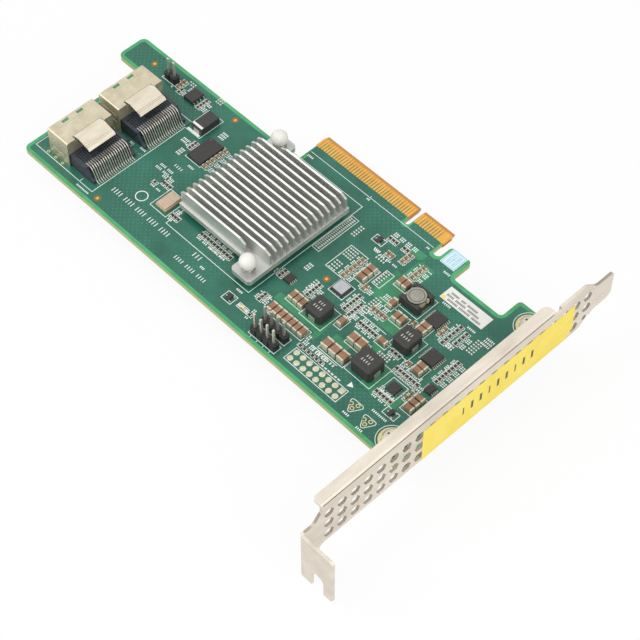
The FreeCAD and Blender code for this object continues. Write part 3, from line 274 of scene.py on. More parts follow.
def strip(x0, x1, y0, y1, z, turn=0.0):
    """Adds a flat rectangle, in mm, to the piece in edit mode."""
    middle = ((x0 + x1) / 2 * mm, (y0 + y1) / 2 * mm, z)
    bpy.ops.mesh.primitive_plane_add(size=1, location=middle)
    bpy.ops.transform.resize(value=((x1 - x0) * mm, (y1 - y0) * mm, 1), center_override=middle)
    if turn:
        bpy.ops.transform.rotate(value=-math.radians(turn), orient_axis="Z", center_override=middle)


def thicken(height):
    """Gives every flat face of the piece in edit mode its thickness."""
    bpy.ops.mesh.select_all(action="SELECT")
    bpy.ops.mesh.extrude_region_move(TRANSFORM_OT_translate={"value": (0, 0, height)})


# The film runs on to the roots of the fingers, on both sides of the key.
finger_film = begin("finger_root_film")
for x0, x1 in ((-39.3, -1.5), (1.5, 12.2)):
    strip(x0, x1, -10.0, -5.4, film * 1.2)
thicken(0.004 * mm)
settle(finger_film, mask)

# ------------------------------------------------------------ clear areas in the copper
# Where the inner copper is cut away for the power stages, the mask looks a lighter, yellower green.
clear_mask = finish("solder_mask_without_copper", ["#2E7A55", "#37865E", "#429269"], 5.0,
                    (0.25, 0.38), bump=0.1, fine=0.4, round_mm=0.01)
clear_areas = begin("clear_areas")
for sides in ((-7.0, 9.8, -53.6, -50.6), (9.8, 11.6, -56.0, -46.0), (14.6, 20.6, -52.8, -49.6),
              (10.4, 17.2, -33.0, -21.6), (12.6, 18.6, -22.0, -14.2), (7.6, 13.0, -14.6, -11.6),
              (30.6, 35.4, -56.8, -46.9), (19.6, 27.6, -38.8, -33.4), (40.6, 43.4, -57.0, -52.4),
              (24.2, 27.6, -46.0, -43.6)):
    strip(*sides, film)
thicken(0.006 * mm)
settle(clear_areas, clear_mask)

# ------------------------------------------------------------ traces
# Copper tracks stand up slightly under the mask, in bundles that run at 45 degrees.
track_mask = finish("solder_mask_over_tracks", ["#23705B", "#2A7964", "#33836E"], 6.0, (0.22, 0.34),
                    bump=0.05, round_mm=0.01)


def face_outward():
    """Turns every face of the piece in edit mode outwards."""
    bpy.ops.mesh.select_all(action="SELECT")
    bpy.ops.mesh.normals_make_consistent()


def track_bundles(bundles, width, z):
    """Adds bundles of tracks: the middle, length, turn, count and spacing of each."""
    for x, y, length, turn, count, gap in bundles:
        across = math.radians(turn + 90)
        for k in range(count):
            step = (k - (count - 1) / 2) * gap
            mx, my = x + step * math.cos(across), y + step * math.sin(across)
            strip(mx - length / 2, mx + length / 2, my - width / 2, my + width / 2, z, turn)


tracks = begin("copper_tracks")
track_bundles(((-28.0, -60.5, 9.0, 45, 7, 0.55), (-11.0, -52.0, 12.0, 45, 6, 0.6),
               (-8.5, -36.5, 9.0, 45, 6, 0.6), (-6.0, -22.5, 7.0, 135, 5, 0.6),
               (-21.0, -62.5, 8.0, 0, 4, 0.55), (33.5, -21.5, 10.0, 45, 4, 0.6),
               (-44.0, -61.5, 9.0, 0, 5, 0.6), (-67.0, -41.0, 12.0, 45, 5, 0.6),
               (47.5, -30.5, 8.0, 90, 4, 0.6), (22.0, -46.5, 7.0, 0, 4, 0.6),
               (-30.0, -9.6, 10.0, 0, 3, 0.6), (3.0, -11.0, 5.0, 90, 5, 0.9)), 0.16, film)
thicken(0.008 * mm)
settle(tracks, track_mask)

tracks_under = begin("copper_tracks_under")
track_bundles(((-60.0, -40.0, 26.0, 0, 9, 0.6), (-52.0, -24.0, 18.0, 45, 8, 0.6),
               (-8.0, -30.0, 20.0, 90, 7, 0.7), (20.0, -40.0, 16.0, 0, 6, 0.7),
               (-30.0, -62.0, 24.0, 0, 6, 0.6), (36.0, -30.0, 14.0, 135, 5, 0.8),
               (-20.0, -11.0, 4.0, 90, 16, 1.0), (-68.0, -56.0, 12.0, 135, 6, 0.6)), 0.2,
              board_low.z - film)
thicken(-0.01 * mm)
face_outward()
settle(tracks_under, track_mask)

# ------------------------------------------------------------ printed markings
# White epoxy ink, screen printed on the mask: outlines round the parts, ticks and short bars where
# the reference marks stand. The bars say nothing.
ink_z = film + 0.006 * mm
ink_height = 0.02 * mm
line = 0.2
marks = begin("board_print")


def outline(x0, x1, y0, y1, width=line, z=ink_z):
    """A printed rectangle: the box is its outer edge."""
    strip(x0, x1, y0, y0 + width, z)
    strip(x0, x1, y1 - width, y1, z)
    strip(x0, x0 + width, y0 + width, y1 - width, z)
    strip(x1 - width, x1, y0 + width, y1 - width, z)


def bars(x, y, columns, rows, pitch_x=0.62, pitch_y=1.0, long_x=0.34, long_y=0.7):
    """A block of short printed bars."""
    for i in range(columns):
        for j in range(rows):
            mx, my = x + i * pitch_x, y + j * pitch_y
            strip(mx - long_x / 2, mx + long_x / 2, my - long_y / 2, my + long_y / 2, ink_z)


def disc(x, y, radius, z, sides=32, turn=0.0):
    """Adds a flat disc, or with few sides a polygon, to the piece in edit mode."""
    bpy.ops.mesh.primitive_circle_add(vertices=sides, radius=radius * mm, fill_type="NGON",
                                      location=(x * mm, y * mm, z), rotation=(0, 0, turn))


def ring(x, y, radius, width, z, sides=48):
    """Adds a flat ring; the radius is its outer one."""
    disc(x, y, radius, z, sides)
    bpy.ops.mesh.inset(thickness=width * mm)
    bpy.ops.mesh.delete(type="FACE")


def solids_in(name):
    """Low and high corners, in mm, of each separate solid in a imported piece."""
    mesh = nodes[name].data
    spot = [tuple(round(c * 1e6) for c in v.co) for v in mesh.vertices]
    parent = {key: key for key in spot}

    def root(key):
        while parent[key] != key:
            parent[key] = parent[parent[key]]
            key = parent[key]
        return key

    for face in mesh.polygons:
        keys = [spot[v] for v in face.vertices]
        for key in keys[1:]:
            parent[root(key)] = root(keys[0])
    groups = {}
    for key in parent:
        groups.setdefault(root(key), []).append(key)
    found = []
    for keys in groups.values():
        low = [min(key[k] for key in keys) / 1000 for k in range(3)]
        high = [max(key[k] for key in keys) / 1000 for k in range(3)]
        found.append((low, high))
    return sorted(found)


def clusters(boxes, gap):
    """Boxes that stand within a gap of each other, joined, as [x0, x1, y0, y1]."""
    groups = []
    for low, high in boxes:
        mine = [low[0], high[0], low[1], high[1]]
        merged = True
        while merged:
            merged = False
            for other in groups:
                if (mine[0] - gap < other[1] and other[0] < mine[1] + gap
                        and mine[2] - gap < other[3] and other[2] < mine[3] + gap):
                    mine = [min(mine[0], other[0]), max(mine[1], other[1]),
                            min(mine[2], other[2]), max(mine[3], other[3])]
                    groups.remove(other)
                    merged = True
                    break
        groups.append(mine)
    return groups


# Frames: the heat sink, the sockets, the headers, the filled holes, the chips, the coils, the small
# parts by the edges, and the switching stages.
sink_frame, side_header_frame = (-48.5, -13.0, -57.6, -12.1), (-93.0, -86.8, -20.1, -17.1)
for sides in (sink_frame, (-98.4, -72.3, -65.5, -45.6), (-98.4, -72.3, -45.77, -25.9),
              side_header_frame, (-3.1, 7.5, -67.0, -63.9), (-3.1, 7.5, -63.1, -60.0),
              (10.1, 30.8, -65.9, -60.7), (-72.5, -65.9, -28.9, -18.9),
              (-57.1, -50.1, -56.3, -47.9), (-64.0, -57.3, -36.4, -25.6),
              (1.5, 7.2, -40.5, -34.8), (35.9, 41.7, -54.1, -48.4), (1.9, 10.7, -52.3, -43.9),
              (24.1, 34.1, -56.3, -47.3), (26.6, 34.8, -42.2, -33.8), (17.9, 26.7, -30.1, -21.3),
              (-17.5, -13.6, -64.2, -60.8), (-12.2, -8.2, -63.2, -61.4),
              (-2.9, 1.3, -18.9, -16.1), (41.6, 46.2, -59.0, -56.2), (-12.9, -9.9, -33.0, -16.6),
              (-5.2, 1.9, -35.0, -24.4), (8.4, 11.6, -29.9, -23.6)):
    outline(*sides)
# Lines and ticks: under the fingers, by the sockets and the moulded capacitor, and between the
# switching stages.
for sides in ((-39.0, 11.9, -8.2, -8.03), (-14.1, -13.95, -8.03, -7.4),
              (-78.2, -78.03, -65.5, -64.0), (-78.2, -78.03, -47.1, -44.2),
              (-71.8, -66.6, -28.6, -27.9), (13.7, 24.3, -39.9, -39.7),
              (13.7, 24.3, -31.9, -31.7), (34.9, 43.0, -47.7, -47.5),
              (12.6, 22.4, -57.2, -57.0)):
    strip(*sides, ink_z)
header_pin_x = (-1.6, 0.94, 3.48, 6.02)
for x in header_pin_x:
    strip(x - 0.09, x + 0.09, -67.7, -67.1, ink_z)
screw_x_y = ((50.0, -63.3), (50.0, -8.9))
for x, y in screw_x_y:
    ring(x, y, 4.7, line, ink_z)
ring(-61.0, -55.9, 2.0, 0.3, ink_z)
# Rows of plain bars stand where a card carries its names and numbers.
for x0, x1, y, tall, pitch in ((-68.9, -42.4, -60.1, 1.7, 1.05), (-37.3, -23.8, -63.8, 1.3, 0.95),
                               (-34.2, -29.6, -59.3, 1.7, 1.2), (-66.9, -59.9, -45.1, 0.9, 0.62),
                               (-66.5, -59.9, -43.6, 0.9, 0.62), (-63.2, -58.4, -40.9, 1.0, 0.9)):
    for k in range(int((x1 - x0) / pitch)):
        if k % 5 != 4:
            strip(x0 + k * pitch, x0 + k * pitch + 0.26, y - tall / 2, y + tall / 2, ink_z)
# The arrow by the filled holes, and the rounded triangles round the probe holes.
disc(29.6, -58.9, 1.15, ink_z, 3, 0.5)
for x, y in ((35.3, -62.9), (41.4, -64.1)):
    disc(x, y, 3.3, ink_z, 3, math.pi)
    bpy.ops.mesh.select_mode(type="VERT")
    bpy.ops.mesh.bevel(offset=1.5 * mm, segments=5, affect="VERTICES")
    bpy.ops.mesh.select_mode(type="FACE")
    bpy.ops.mesh.inset(thickness=0.2 * mm)
    bpy.ops.mesh.delete(type="FACE")

# Frames round the small parts, and bars beside each row.
tall_parts = solids_in("ceramic_capacitors") + solids_in("ceramic_capacitor_ends")
small_parts = solids_in("small_capacitors") + solids_in("chip_resistors")
for x0, x1, y0, y1 in clusters(tall_parts, 0.7):
    outline(x0 - 0.6, x1 + 0.6, y0 - 0.6, y1 + 0.6)
for low, high in small_parts:
    side_x = 0.42 if high[0] - low[0] > high[1] - low[1] else 0.26
    side_y = 0.68 - side_x
    outline(low[0] - side_x, high[0] + side_x, low[1] - side_y, high[1] + side_y, 0.17)
parts_near = tall_parts + small_parts
for name in ("power_inductors", "drum_inductor", "driver_chips", "switch_chips", "regulator_chip",
             "lidded_chip", "transistors", "memory_chip", "oscillator", "configuration_chip",
             "moulded_capacitor", "front_header", "rear_header", "side_header", "product_label",
             "status_led", "filled_header_holes", "inspection_sticker"):
    parts_near += solids_in(name)


def clear_of_parts(x, y, gap=0.55):
    """True where nothing stands on the board within a gap."""
    return all(x < low[0] - gap or x > high[0] + gap or y < low[1] - gap or y > high[1] + gap
               for low, high in parts_near)


# Beside each row of small parts run one line of bars on one side and two on the other.
bar_pitch, near_line, far_line = 0.62, 0.95, 1.75
for x0, x1, y0, y1 in clusters(small_parts, 1.1):
    across = x1 - x0 > y1 - y0
    run = x1 - x0 if across else y1 - y0
    half_x, half_y = (0.17, 0.3) if across else (0.3, 0.17)
    for far in (0, 1):
        for k in range(int(run / bar_pitch)):
            for deep in (near_line, far_line):
                along = 0.3 + k * bar_pitch
                if across:
                    mx, my = x0 + along, (y1 + deep) if far else (y0 - deep)
                else:
                    mx, my = (x1 + deep) if far else (x0 - deep), y0 + along
                if k % 4 != 3 and (far or deep == near_line) and clear_of_parts(mx, my):
                    strip(mx - half_x, mx + half_x, my - half_y, my + half_y, ink_z)
# Loose blocks of bars in the open areas: where the first bar stands, columns, rows, and any other
# pitch or size.
for block in ((-69.4, -32.8, 5, 2), (-62.6, -24.0, 4, 3), (-66.8, -37.2, 3, 3),
              (-60.2, -38.2, 4, 1), (-79.3, -44.4, 3, 1), (-75.4, -43.8, 4, 1),
              (-77.6, -66.7, 9, 1, 0.6, 1.0, 0.36, 0.5), (-38.6, -9.7, 4, 1), (-14.3, -8.9, 2, 1),
              (10.6, -9.4, 2, 1), (34.4, -66.4, 4, 1), (40.5, -67.4, 4, 1), (39.6, -60.3, 9, 1),
              (-9.3, -56.0, 4, 3), (8.7, -56.6, 4, 2), (-29.4, -61.0, 3, 1),
              (44.8, -22.8, 5, 3, 0.62, 1.1), (5.0, -27.0, 5, 2), (-8.6, -39.8, 3, 3),
              (14.6, -30.9, 4, 2), (21.2, -32.6, 5, 1), (35.4, -46.6, 5, 1), (42.6, -46.9, 4, 2),
              (12.4, -43.4, 3, 3), (17.0, -54.8, 6, 1), (-13.6, -46.8, 4, 2),
              (-16.2, -58.9, 4, 1), (-5.4, -58.2, 5, 1), (0.4, -20.4, 4, 1), (27.6, -20.3, 5, 1),
              (38.4, -21.6, 5, 1), (8.4, -18.9, 4, 1), (20.2, -12.2, 4, 1)):
    bars(*block)
thicken(ink_height)
ink = finish("white_epoxy_ink", ["#EAF0EC", "#F6F9F6", "#FDFEFD"], 0.6, (0.45, 0.6), bump=0.2,
             fine=0.1, round_mm=0.01)
settle(marks, ink)

# The underside carries only frames, whose sides run through the corners, and a few bars.
under_z = board_low.z - 2 * film
marks_under = begin("board_print_under")
for x0, x1, y0, y1 in ((-3.1, 7.5, -67.1, -59.9), (-93.6, -85.4, -64.9, -45.3),
                       (-93.6, -85.4, -45.0, -25.4), side_header_frame,
                       (9.9, 31.0, -66.0, -60.6), sink_frame):
    for sides in ((x0, x1, y0, y0 + line), (x0, x1, y1 - line, y1), (x0, x0 + line, y0, y1),
                  (x1 - line, x1, y0, y1)):
        strip(*sides, under_z)
for x, y, count in ((8.4, -64.4, 4), (-84.6, -55.0, 5), (-84.6, -35.2, 5), (-40.0, -9.7, 6),
                    (-36.0, -60.5, 8)):
    for k in range(count):
        strip(x + bar_pitch * k, x + bar_pitch * k + 0.34, y, y + 0.8, under_z)
thicken(-ink_height)
face_outward()
settle(marks_under, ink)

# ------------------------------------------------------------ edge contacts
# Copper pads plated with hard gold over nickel, on both faces of the card edge. The plating is
# smooth and warm, with faint wipe marks along the way the card slides in.
gold = finish("hard_gold_plate", ["#DFA445", "#E9B254", "#F0BE66"], 3.0, (0.34, 0.46), bump=0.08,
              fine=0.2, metallic=0.75, stretch=(4, 0.5, 1), rim="#F8D48C", round_mm=0.03)
dress(gold, "edge_contacts_top", "edge_contacts_bottom")

# ------------------------------------------------------------ bare pads, rings and sighting marks
# Pads left without parts are tinned. Holes are ringed with gold, and four gold dots in wider bare
# discs guide the placing machine.
pads = begin("spare_pads")
for x, y, columns, rows, pitch_x, pitch_y, long_x, long_y in (
        (-12.1, -32.0, 2, 21, 1.15, 0.72, 0.8, 0.42), (-4.3, -28.4, 4, 4, 0.9, 1.0, 0.6, 0.45),
        (-4.0, -34.4, 3, 4, 0.95, 1.05, 0.6, 0.45), (9.0, -29.2, 2, 6, 1.0, 0.95, 0.65, 0.45),
        (-2.9, -44.4, 2, 5, 0.9, 0.95, 0.6, 0.45), (13.4, -38.6, 3, 7, 0.9, 0.95, 0.6, 0.42),
        (27.2, -46.2, 5, 2, 0.95, 0.95, 0.5, 0.6), (43.6, -27.6, 3, 6, 0.9, 0.95, 0.6, 0.42),
        (-85.0, -16.0, 3, 2, 1.0, 0.9, 0.5, 0.5), (-73.6, -15.0, 3, 3, 0.9, 0.9, 0.5, 0.5),
        (-33.0, -54.6, 8, 1, 0.9, 1.0, 0.45, 0.7), (14.0, -57.9, 8, 1, 1.1, 1.0, 0.5, 0.8),
        (-11.5, -62.3, 2, 1, 2.6, 1.0, 0.95, 0.95), (-8.0, -21.5, 2, 5, 0.95, 0.95, 0.6, 0.45),
        (36.6, -30.6, 5, 2, 0.95, 0.95, 0.45, 0.6), (19.6, -60.0, 6, 1, 1.3, 1.0, 0.9, 0.5),
        (44.2, -36.4, 3, 4, 0.95, 0.95, 0.6, 0.42), (3.0, -22.4, 4, 2, 0.95, 0.95, 0.45, 0.6)):
    for i in range(columns):
        for j in range(rows):
            mx, my = x + i * pitch_x, y + j * pitch_y
            if clear_of_parts(mx, my, 0.3):
                strip(mx - long_x / 2, mx + long_x / 2, my - long_y / 2, my + long_y / 2, ink_z)
thicken(0.03 * mm)
bare_tin = finish("hot_tinned_pad", ["#CFCFC6", "#E3E2DA", "#F1F0EA"], 0.4, (0.25, 0.45), bump=0.3,
                  fine=0.1, metallic=0.5, round_mm=0.02)
settle(pads, bare_tin)

rings = begin("gold_rings")
for x, y in screw_x_y:
    ring(x, y, 3.95, 1.0, ink_z)
for x, y in ((35.1, -62.9), (41.2, -64.1)):
    for angle in (40, 180, 280):
        turn = math.radians(angle)
        ring(x + 1.05 * math.cos(turn), y + 1.05 * math.sin(turn), 0.68, 0.27, ink_z, 24)
socket_middles = (-55.1, -35.3)
for middle_y in socket_middles:
    for x in (-93.5, -90.2, -87.0):
        ring(x, middle_y - 9.4, 0.5, 0.2, ink_z, 24)
thicken(0.02 * mm)
pale_gold = finish("thin_immersion_gold", ["#CDBB80", "#DDCD94", "#EADFB2"], 0.6, (0.3, 0.45),
                   bump=0.1, metallic=0.6, round_mm=0.02)
settle(rings, pale_gold)

bare_laminate = finish("bare_amber_laminate", ["#7E5F2C", "#8F6D35"], 0.6, (0.4, 0.55), bump=0.3,
                       fine=0.15, round_mm=0.01)
sight_x_y = ((-98.6, -18.1), (-69.4, -65.8), (-64.0, -16.0), (-1.25, -38.2))
sights = begin("sighting_discs")
for x, y in sight_x_y:
    disc(x, y, 1.15, ink_z)
thicken(0.004 * mm)
settle(sights, bare_laminate)
dots = begin("sighting_dots")
for x, y in sight_x_y:
    disc(x, y, 0.5, ink_z + 0.002 * mm, 24)
thicken(0.02 * mm)
settle(dots, gold)

# ------------------------------------------------------------ bracket and its screws
# Mild steel, punched, folded and plated with dull nickel after punching, so that cut edges are
# plated as well. It is held to the board by two screws through its ears.
nickel = finish("nickel_plated_steel", ["#D3C9BA", "#DFD5C6", "#E8DFD2"], 5.0, (0.34, 0.5),
                bump=0.25, fine=0.12, metallic=0.7, rim="#EEE5D8", round_mm=0.15,
                stretch=(1, 0.3, 1))
screw = finish("nickel_plated_screw", ["#C9C2B6", "#DCD5C9"], 1.5, (0.25, 0.4), bump=0.1,
               metallic=0.7, rim="#F6F1E8", round_mm=0.1)
# The punched walls of the vents and other walls across the face are darkened: painted shade. The
# fold of the flange is a painted dark line, standing for shade and dark reflection in the bend.
mark(nickel, "#8F8375", facing(nickel, "X", 0.7, 0.4, 0.75), X=(57.9, 58.98), Y=(-104.0, 14.0),
     Z=(-1.9, 12.8))
mark(nickel, "#4A4038", X=(58.0, 59.0), Y=(-97.4, -10.5), Z=(15.2, 15.42))
dress(nickel, "bracket")
dress(screw, "bracket_screws")

# The lowest vent by the tip is a smaller one, so that the sloping edge beside it stays whole.
face_x, sheet, vent_flats = 58.9, 0.86, 3.1
vent_y, vent_z = 3.92, 0.55
edge_from, edge_to = (3.26, -1.0), (5.66, 0.46)
tip_land = begin("bracket_tip_land")
bpy.ops.mesh.primitive_circle_add(vertices=6, radius=vent_flats / math.sqrt(3) * mm,
                                  fill_type="NGON",
                                  location=((face_x - sheet) * mm, vent_y * mm, vent_z * mm),
                                  rotation=(0, math.pi / 2, 0))
bpy.ops.mesh.extrude_region_move(TRANSFORM_OT_translate={"value": (sheet * mm, 0, 0)})
face_outward()
bpy.ops.mesh.bisect(plane_co=(0, edge_from[0] * mm, edge_from[1] * mm),
                    plane_no=(0, edge_to[1] - edge_from[1], edge_from[0] - edge_to[0]),
                    use_fill=True, clear_outer=True)
bpy.ops.mesh.select_all(action="DESELECT")
small_vent = (face_x * mm, (vent_y - 0.35) * mm, (vent_z + 0.5) * mm)
bpy.ops.mesh.primitive_cylinder_add(vertices=6, radius=0.95 * mm, depth=4 * mm,
                                    location=small_vent, rotation=(0, math.pi / 2, 0))
bpy.ops.mesh.intersect_boolean(operation="DIFFERENCE", solver="EXACT")
settle(tip_land, nickel)

# ------------------------------------------------------------ labels
# Labels are glossy paper with adhesive backs: a yellow one on the bracket's face, a white one and
# a small pale blue one on the board.
yellow_paper = finish("yellow_label_paper", ["#FADF4C", "#FFE75F", "#FFEB72"], 8.0, (0.45, 0.6),
                      bump=0.2, fine=0.15, round_mm=0.05)
white_paper = finish("white_label_paper", ["#E9E7E2", "#F4F2EE"], 5.0, (0.5, 0.62), bump=0.15,
                     fine=0.15)
blue_paper = finish("pale_blue_label_paper", ["#D5EBF2", "#E6F5FA"], 2.0, (0.4, 0.5), bump=0.1)
dress(yellow_paper, "bracket_label")
dress(white_paper, "product_label")
dress(blue_paper, "inspection_sticker")

label_face = 59.0 * mm
bars_on_label = begin("bracket_label_bars")
for k in range(9):
    place = (label_face, (-45.5 + 3.4 * k) * mm, 5.0 * mm)
    wide = 0.9 if k % 3 else 0.5
    bpy.ops.mesh.primitive_plane_add(size=1, location=place, rotation=(0, math.pi / 2, 0))
    bpy.ops.transform.resize(value=(1, wide * mm, 3.2 * mm), center_override=place)
bpy.ops.mesh.select_all(action="SELECT")
bpy.ops.mesh.extrude_region_move(TRANSFORM_OT_translate={"value": (0.008 * mm, 0, 0)})
face_outward()
black_print = finish("black_label_print", ["#4A4526", "#5A5430"], 0.5, (0.45, 0.6), round_mm=0.01)
settle(bars_on_label, black_print)

# Rows of fine bars on the white label, each row in three runs.
label_top, label_pitch, print_height = 0.1 * mm, 0.42, 0.008 * mm
label_print = begin("label_bars")
for y, runs in ((-18.6, ((27.6, 31.4), (31.9, 36.3), (36.8, 40.2))),
                (-17.4, ((26.4, 29.0), (29.6, 33.8), (34.3, 38.9))),
                (-16.2, ((27.0, 30.2), (30.8, 32.6), (33.2, 37.4)))):
    for x0, x1 in runs:
        for k in range(int((x1 - x0) / label_pitch)):
            near = x0 + k * label_pitch
            strip(near, near + 0.26, y - 0.36, y + 0.36, label_top)
thicken(print_height)
label_ink = finish("grey_thermal_print", ["#4C4C4C", "#5E5E5E"], 0.5, (0.45, 0.6), round_mm=0.01)
settle(label_print, label_ink)

label_spot = begin("label_corner_spot")
disc(26.3, -18.7, 0.62, label_top, 24)
thicken(print_height)
settle(label_spot, yellow_paper)

sticker_lines = begin("sticker_lines")
outline(16.7, 21.7, -10.05, -4.42, z=label_top)
strip(17.3, 21.1, -7.32, -7.16, label_top)
strip(19.1, 19.26, -9.5, -4.95, label_top)
for x in (17.7, 19.8):
    for y in (-9.1, -8.5, -7.9, -6.6, -6.0, -5.4):
        strip(x, x + 1.0, y - 0.12, y + 0.12, label_top)
thicken(print_height)
sticker_ink = finish("light_blue_print", ["#7FC4DE", "#92CFE5"], 0.5, (0.4, 0.5), round_mm=0.01)
settle(sticker_lines, sticker_ink)

# ------------------------------------------------------------ cable sockets
# A pressed steel cage, plated with tin over nickel, round a black moulded housing with a row of
# bent terminals. The cage's tongue springs up when a plug goes in.
cage = finish("tin_plated_cage", ["#C4BAA0", "#CFC5AB", "#D8CFB7"], 3.0, (0.32, 0.46), bump=0.2,
              fine=0.15, metallic=0.7, rim="#EBE3CF", round_mm=0.1)
housing = finish("glass_filled_nylon", ["#2E323A", "#383D46", "#434953"], 1.2, (0.4, 0.55),
                 bump=0.3, fine=0.06, rim="#565D6A", round_mm=0.08)
tin = finish("bright_tin_plate", ["#B4AFA3", "#C6C1B5", "#D6D2C7"], 0.8, (0.25, 0.4), bump=0.1,
             metallic=0.7, rim="#E3DFD6", round_mm=0.04)
# A crease runs across each roof behind the windows, and a dark line is painted along it and along
# the tongue's root: painted shade in the crease and at the root.
# Behind the terminals the moulding stands in their shade, and is darkened.
for middle_y in socket_middles:
    mark(cage, "#9C937A", 0.7, X=(-91.05, -90.93), Y=(middle_y - 6.2, middle_y + 6.2), Z=(9.5, 9.8))
    mark(cage, "#8A8069", 0.8, X=(-85.9, -85.75), Y=(middle_y - 5.4, middle_y + 5.4), Z=(9.4, 9.9))
    mark(housing, "#0D0E10", 0.85, X=(-79.0, -72.0), Y=(middle_y - 7.0, middle_y + 7.0),
         Z=(-0.1, 4.8))
dress(cage, "sas_cage_1", "sas_cage_2")
dress(housing, "sas_housing_1", "sas_housing_2")
dress(tin, "chip_leads", "inductor_terminals", "moulded_capacitor_leads", "front_header_pins",
      "rear_header_pins", "side_header_pins")
# The terminals are blanked from plated strip: their faces are bright, and their cut sides are dull
# and darkened further with painted shade.
side_shaded_tin = finish("tin_strip_painted_side_shade", ["#BDB8AC", "#CCC7BC", "#D9D5CB"], 0.8, (0.25, 0.4),
                     bump=0.1, metallic=0.6, round_mm=0.02)
tint_over(side_shaded_tin, facing(side_shaded_tin, "Y", 0.4, 0.8), colour("#2A2927"))
dress(side_shaded_tin, "sas_terminals_1", "sas_terminals_2")

# The sprung tongue is a bright strip with a bent lip.
tongue_path = ((-85.7, 9.75), (-83.4, 10.38), (-80.3, 9.5), (-80.05, 9.54), (-79.75, 9.36),
               (-79.5, 9.4), (-79.0, 9.14), (-78.52, 8.56))
tongue_half = 5.03


def select_points(test):
    """Selects just the corners of the mesh in edit mode that pass a test."""
    bpy.ops.mesh.select_mode(type="VERT")
    bpy.ops.mesh.select_all(action="DESELECT")
    bpy.ops.object.mode_set(mode="OBJECT")
    for point in bpy.context.object.data.vertices:
        point.select = test(point)
    bpy.ops.object.mode_set(mode="EDIT")


bright_tin = finish("bright_rolled_tin", ["#DBD0B9", "#E4DAC5", "#EBE3D0"], 2.0, (0.3, 0.42),
                    bump=0.15, fine=0.12, metallic=0.6, rim="#F7F1E2", round_mm=0.04,
                    stretch=(1, 0.3, 1))
# Darker lines across the two bends of the lip are painted shade.
for crease in ((-80.12, -79.98), (-79.58, -79.46)):
    mark(bright_tin, "#A39A84", X=crease)
for number, middle_y in enumerate(socket_middles, 1):
    tongue = begin(f"cage_tongue_face_{number}")
    (x0, z0), (x1, z1) = tongue_path[:2]
    strip(x0, x1, middle_y - tongue_half, middle_y + tongue_half, z0 * mm)
    select_points(lambda p: p.co.x > (x1 - 0.01) * mm)
    bpy.ops.transform.translate(value=(0, 0, (z1 - z0) * mm))
    bpy.ops.mesh.select_mode(type="EDGE")
    for (xa, za), (xb, zb) in zip(tongue_path[1:], tongue_path[2:]):
        bpy.ops.mesh.extrude_region_move(
            TRANSFORM_OT_translate={"value": ((xb - xa) * mm, 0, (zb - za) * mm)})
    bpy.ops.mesh.select_mode(type="FACE")
    thicken(0.03 * mm)
    face_outward()
    settle(tongue, bright_tin, 20)

# ------------------------------------------------------------ heat sink
# Aluminium, extruded with its fins, sawn to length and washed. It sits on a soft thermal pad on the
# controller chip, held by two nylon push pins with steel springs under their heads.
aluminium = finish("extruded_aluminium", ["#BCBDB8", "#C7C8C3", "#D0D2CD"], 1.6, (0.32, 0.46),
                   bump=0.3, fine=0.1, metallic=0.6, stretch=(0.15, 2, 2), rim="#F6F7F5",
                   round_mm=0.1)
# The fin tops are painted near white: a painted highlight where they face the light above.
mark(aluminium, "#F7F7F4", Z=(9.57, 9.65))
pad = finish("grey_silicone_pad", ["#8F8C86", "#A19E98"], 1.0, (0.6, 0.75), bump=0.2)
nylon = finish("natural_nylon", ["#E8E5DA", "#F2F0E8", "#F7F5EF"], 2.0, (0.4, 0.5), bump=0.08,
               round_mm=0.2)
spring_steel = finish("spring_steel_wire", ["#8B8984", "#A5A39D"], 0.5, (0.25, 0.35), metallic=0.9)
dress(aluminium, "heat_sink")
dress(pad, "thermal_pad")
head_radius, stem_radius, barb_radius, tip_radius = 2.6, 1.5, 2.1, 0.8
head_low, crown, barb_high, barb_land, tip_low = 6.2, 7.2, -1.72, 0.7, -4.32
split_width, split_top = 0.6, -1.2


def push_pin(name, x, y):
    """A ball head, a stem down through the board, and a split barb under it."""
    made = begin(name)
    middle = (x * mm, y * mm, 0)
    bpy.ops.mesh.primitive_uv_sphere_add(segments=40, ring_count=24, radius=head_radius * mm,
                                         location=(x * mm, y * mm, crown * mm))
    bpy.ops.mesh.bisect(plane_co=(x * mm, y * mm, head_low * mm), plane_no=(0, 0, 1),
                        use_fill=True, clear_inner=True)
    select_faces(lambda f: len(f.vertices) > 8)
    seat = math.sqrt(head_radius ** 2 - (crown - head_low) ** 2)
    bpy.ops.mesh.inset(thickness=(seat - stem_radius) * mm)
    wide, narrow = barb_radius / stem_radius, tip_radius / barb_radius
    for drop, widen in ((barb_high - head_low, 1), (0, wide), (-barb_land, 1),
                        (tip_low - barb_high + barb_land, narrow)):
        bpy.ops.mesh.extrude_region_move(TRANSFORM_OT_translate={"value": (0, 0, drop * mm)})
        bpy.ops.transform.resize(value=(widen, widen, 1), center_override=middle)
    face_outward()
    bpy.ops.mesh.select_all(action="DESELECT")
    cut_middle = (x * mm, y * mm, (split_top + tip_low - 1) / 2 * mm)
    bpy.ops.mesh.primitive_cube_add(size=1, location=cut_middle)
    bpy.ops.transform.resize(value=(split_width * mm, 6 * mm, (split_top - tip_low + 1) * mm),
                             center_override=cut_middle)
    bpy.ops.mesh.intersect_boolean(operation="DIFFERENCE", solver="EXACT")
    return settle(made, nylon, 35)


for number, (x, y) in enumerate(((-17.15, -53.75), (-44.75, -15.55)), 1):
    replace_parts(push_pin(f"nylon_push_pin_{number}", x, y), f"push_pin_{number}")
dress(spring_steel, "push_pin_spring_1", "push_pin_spring_2")

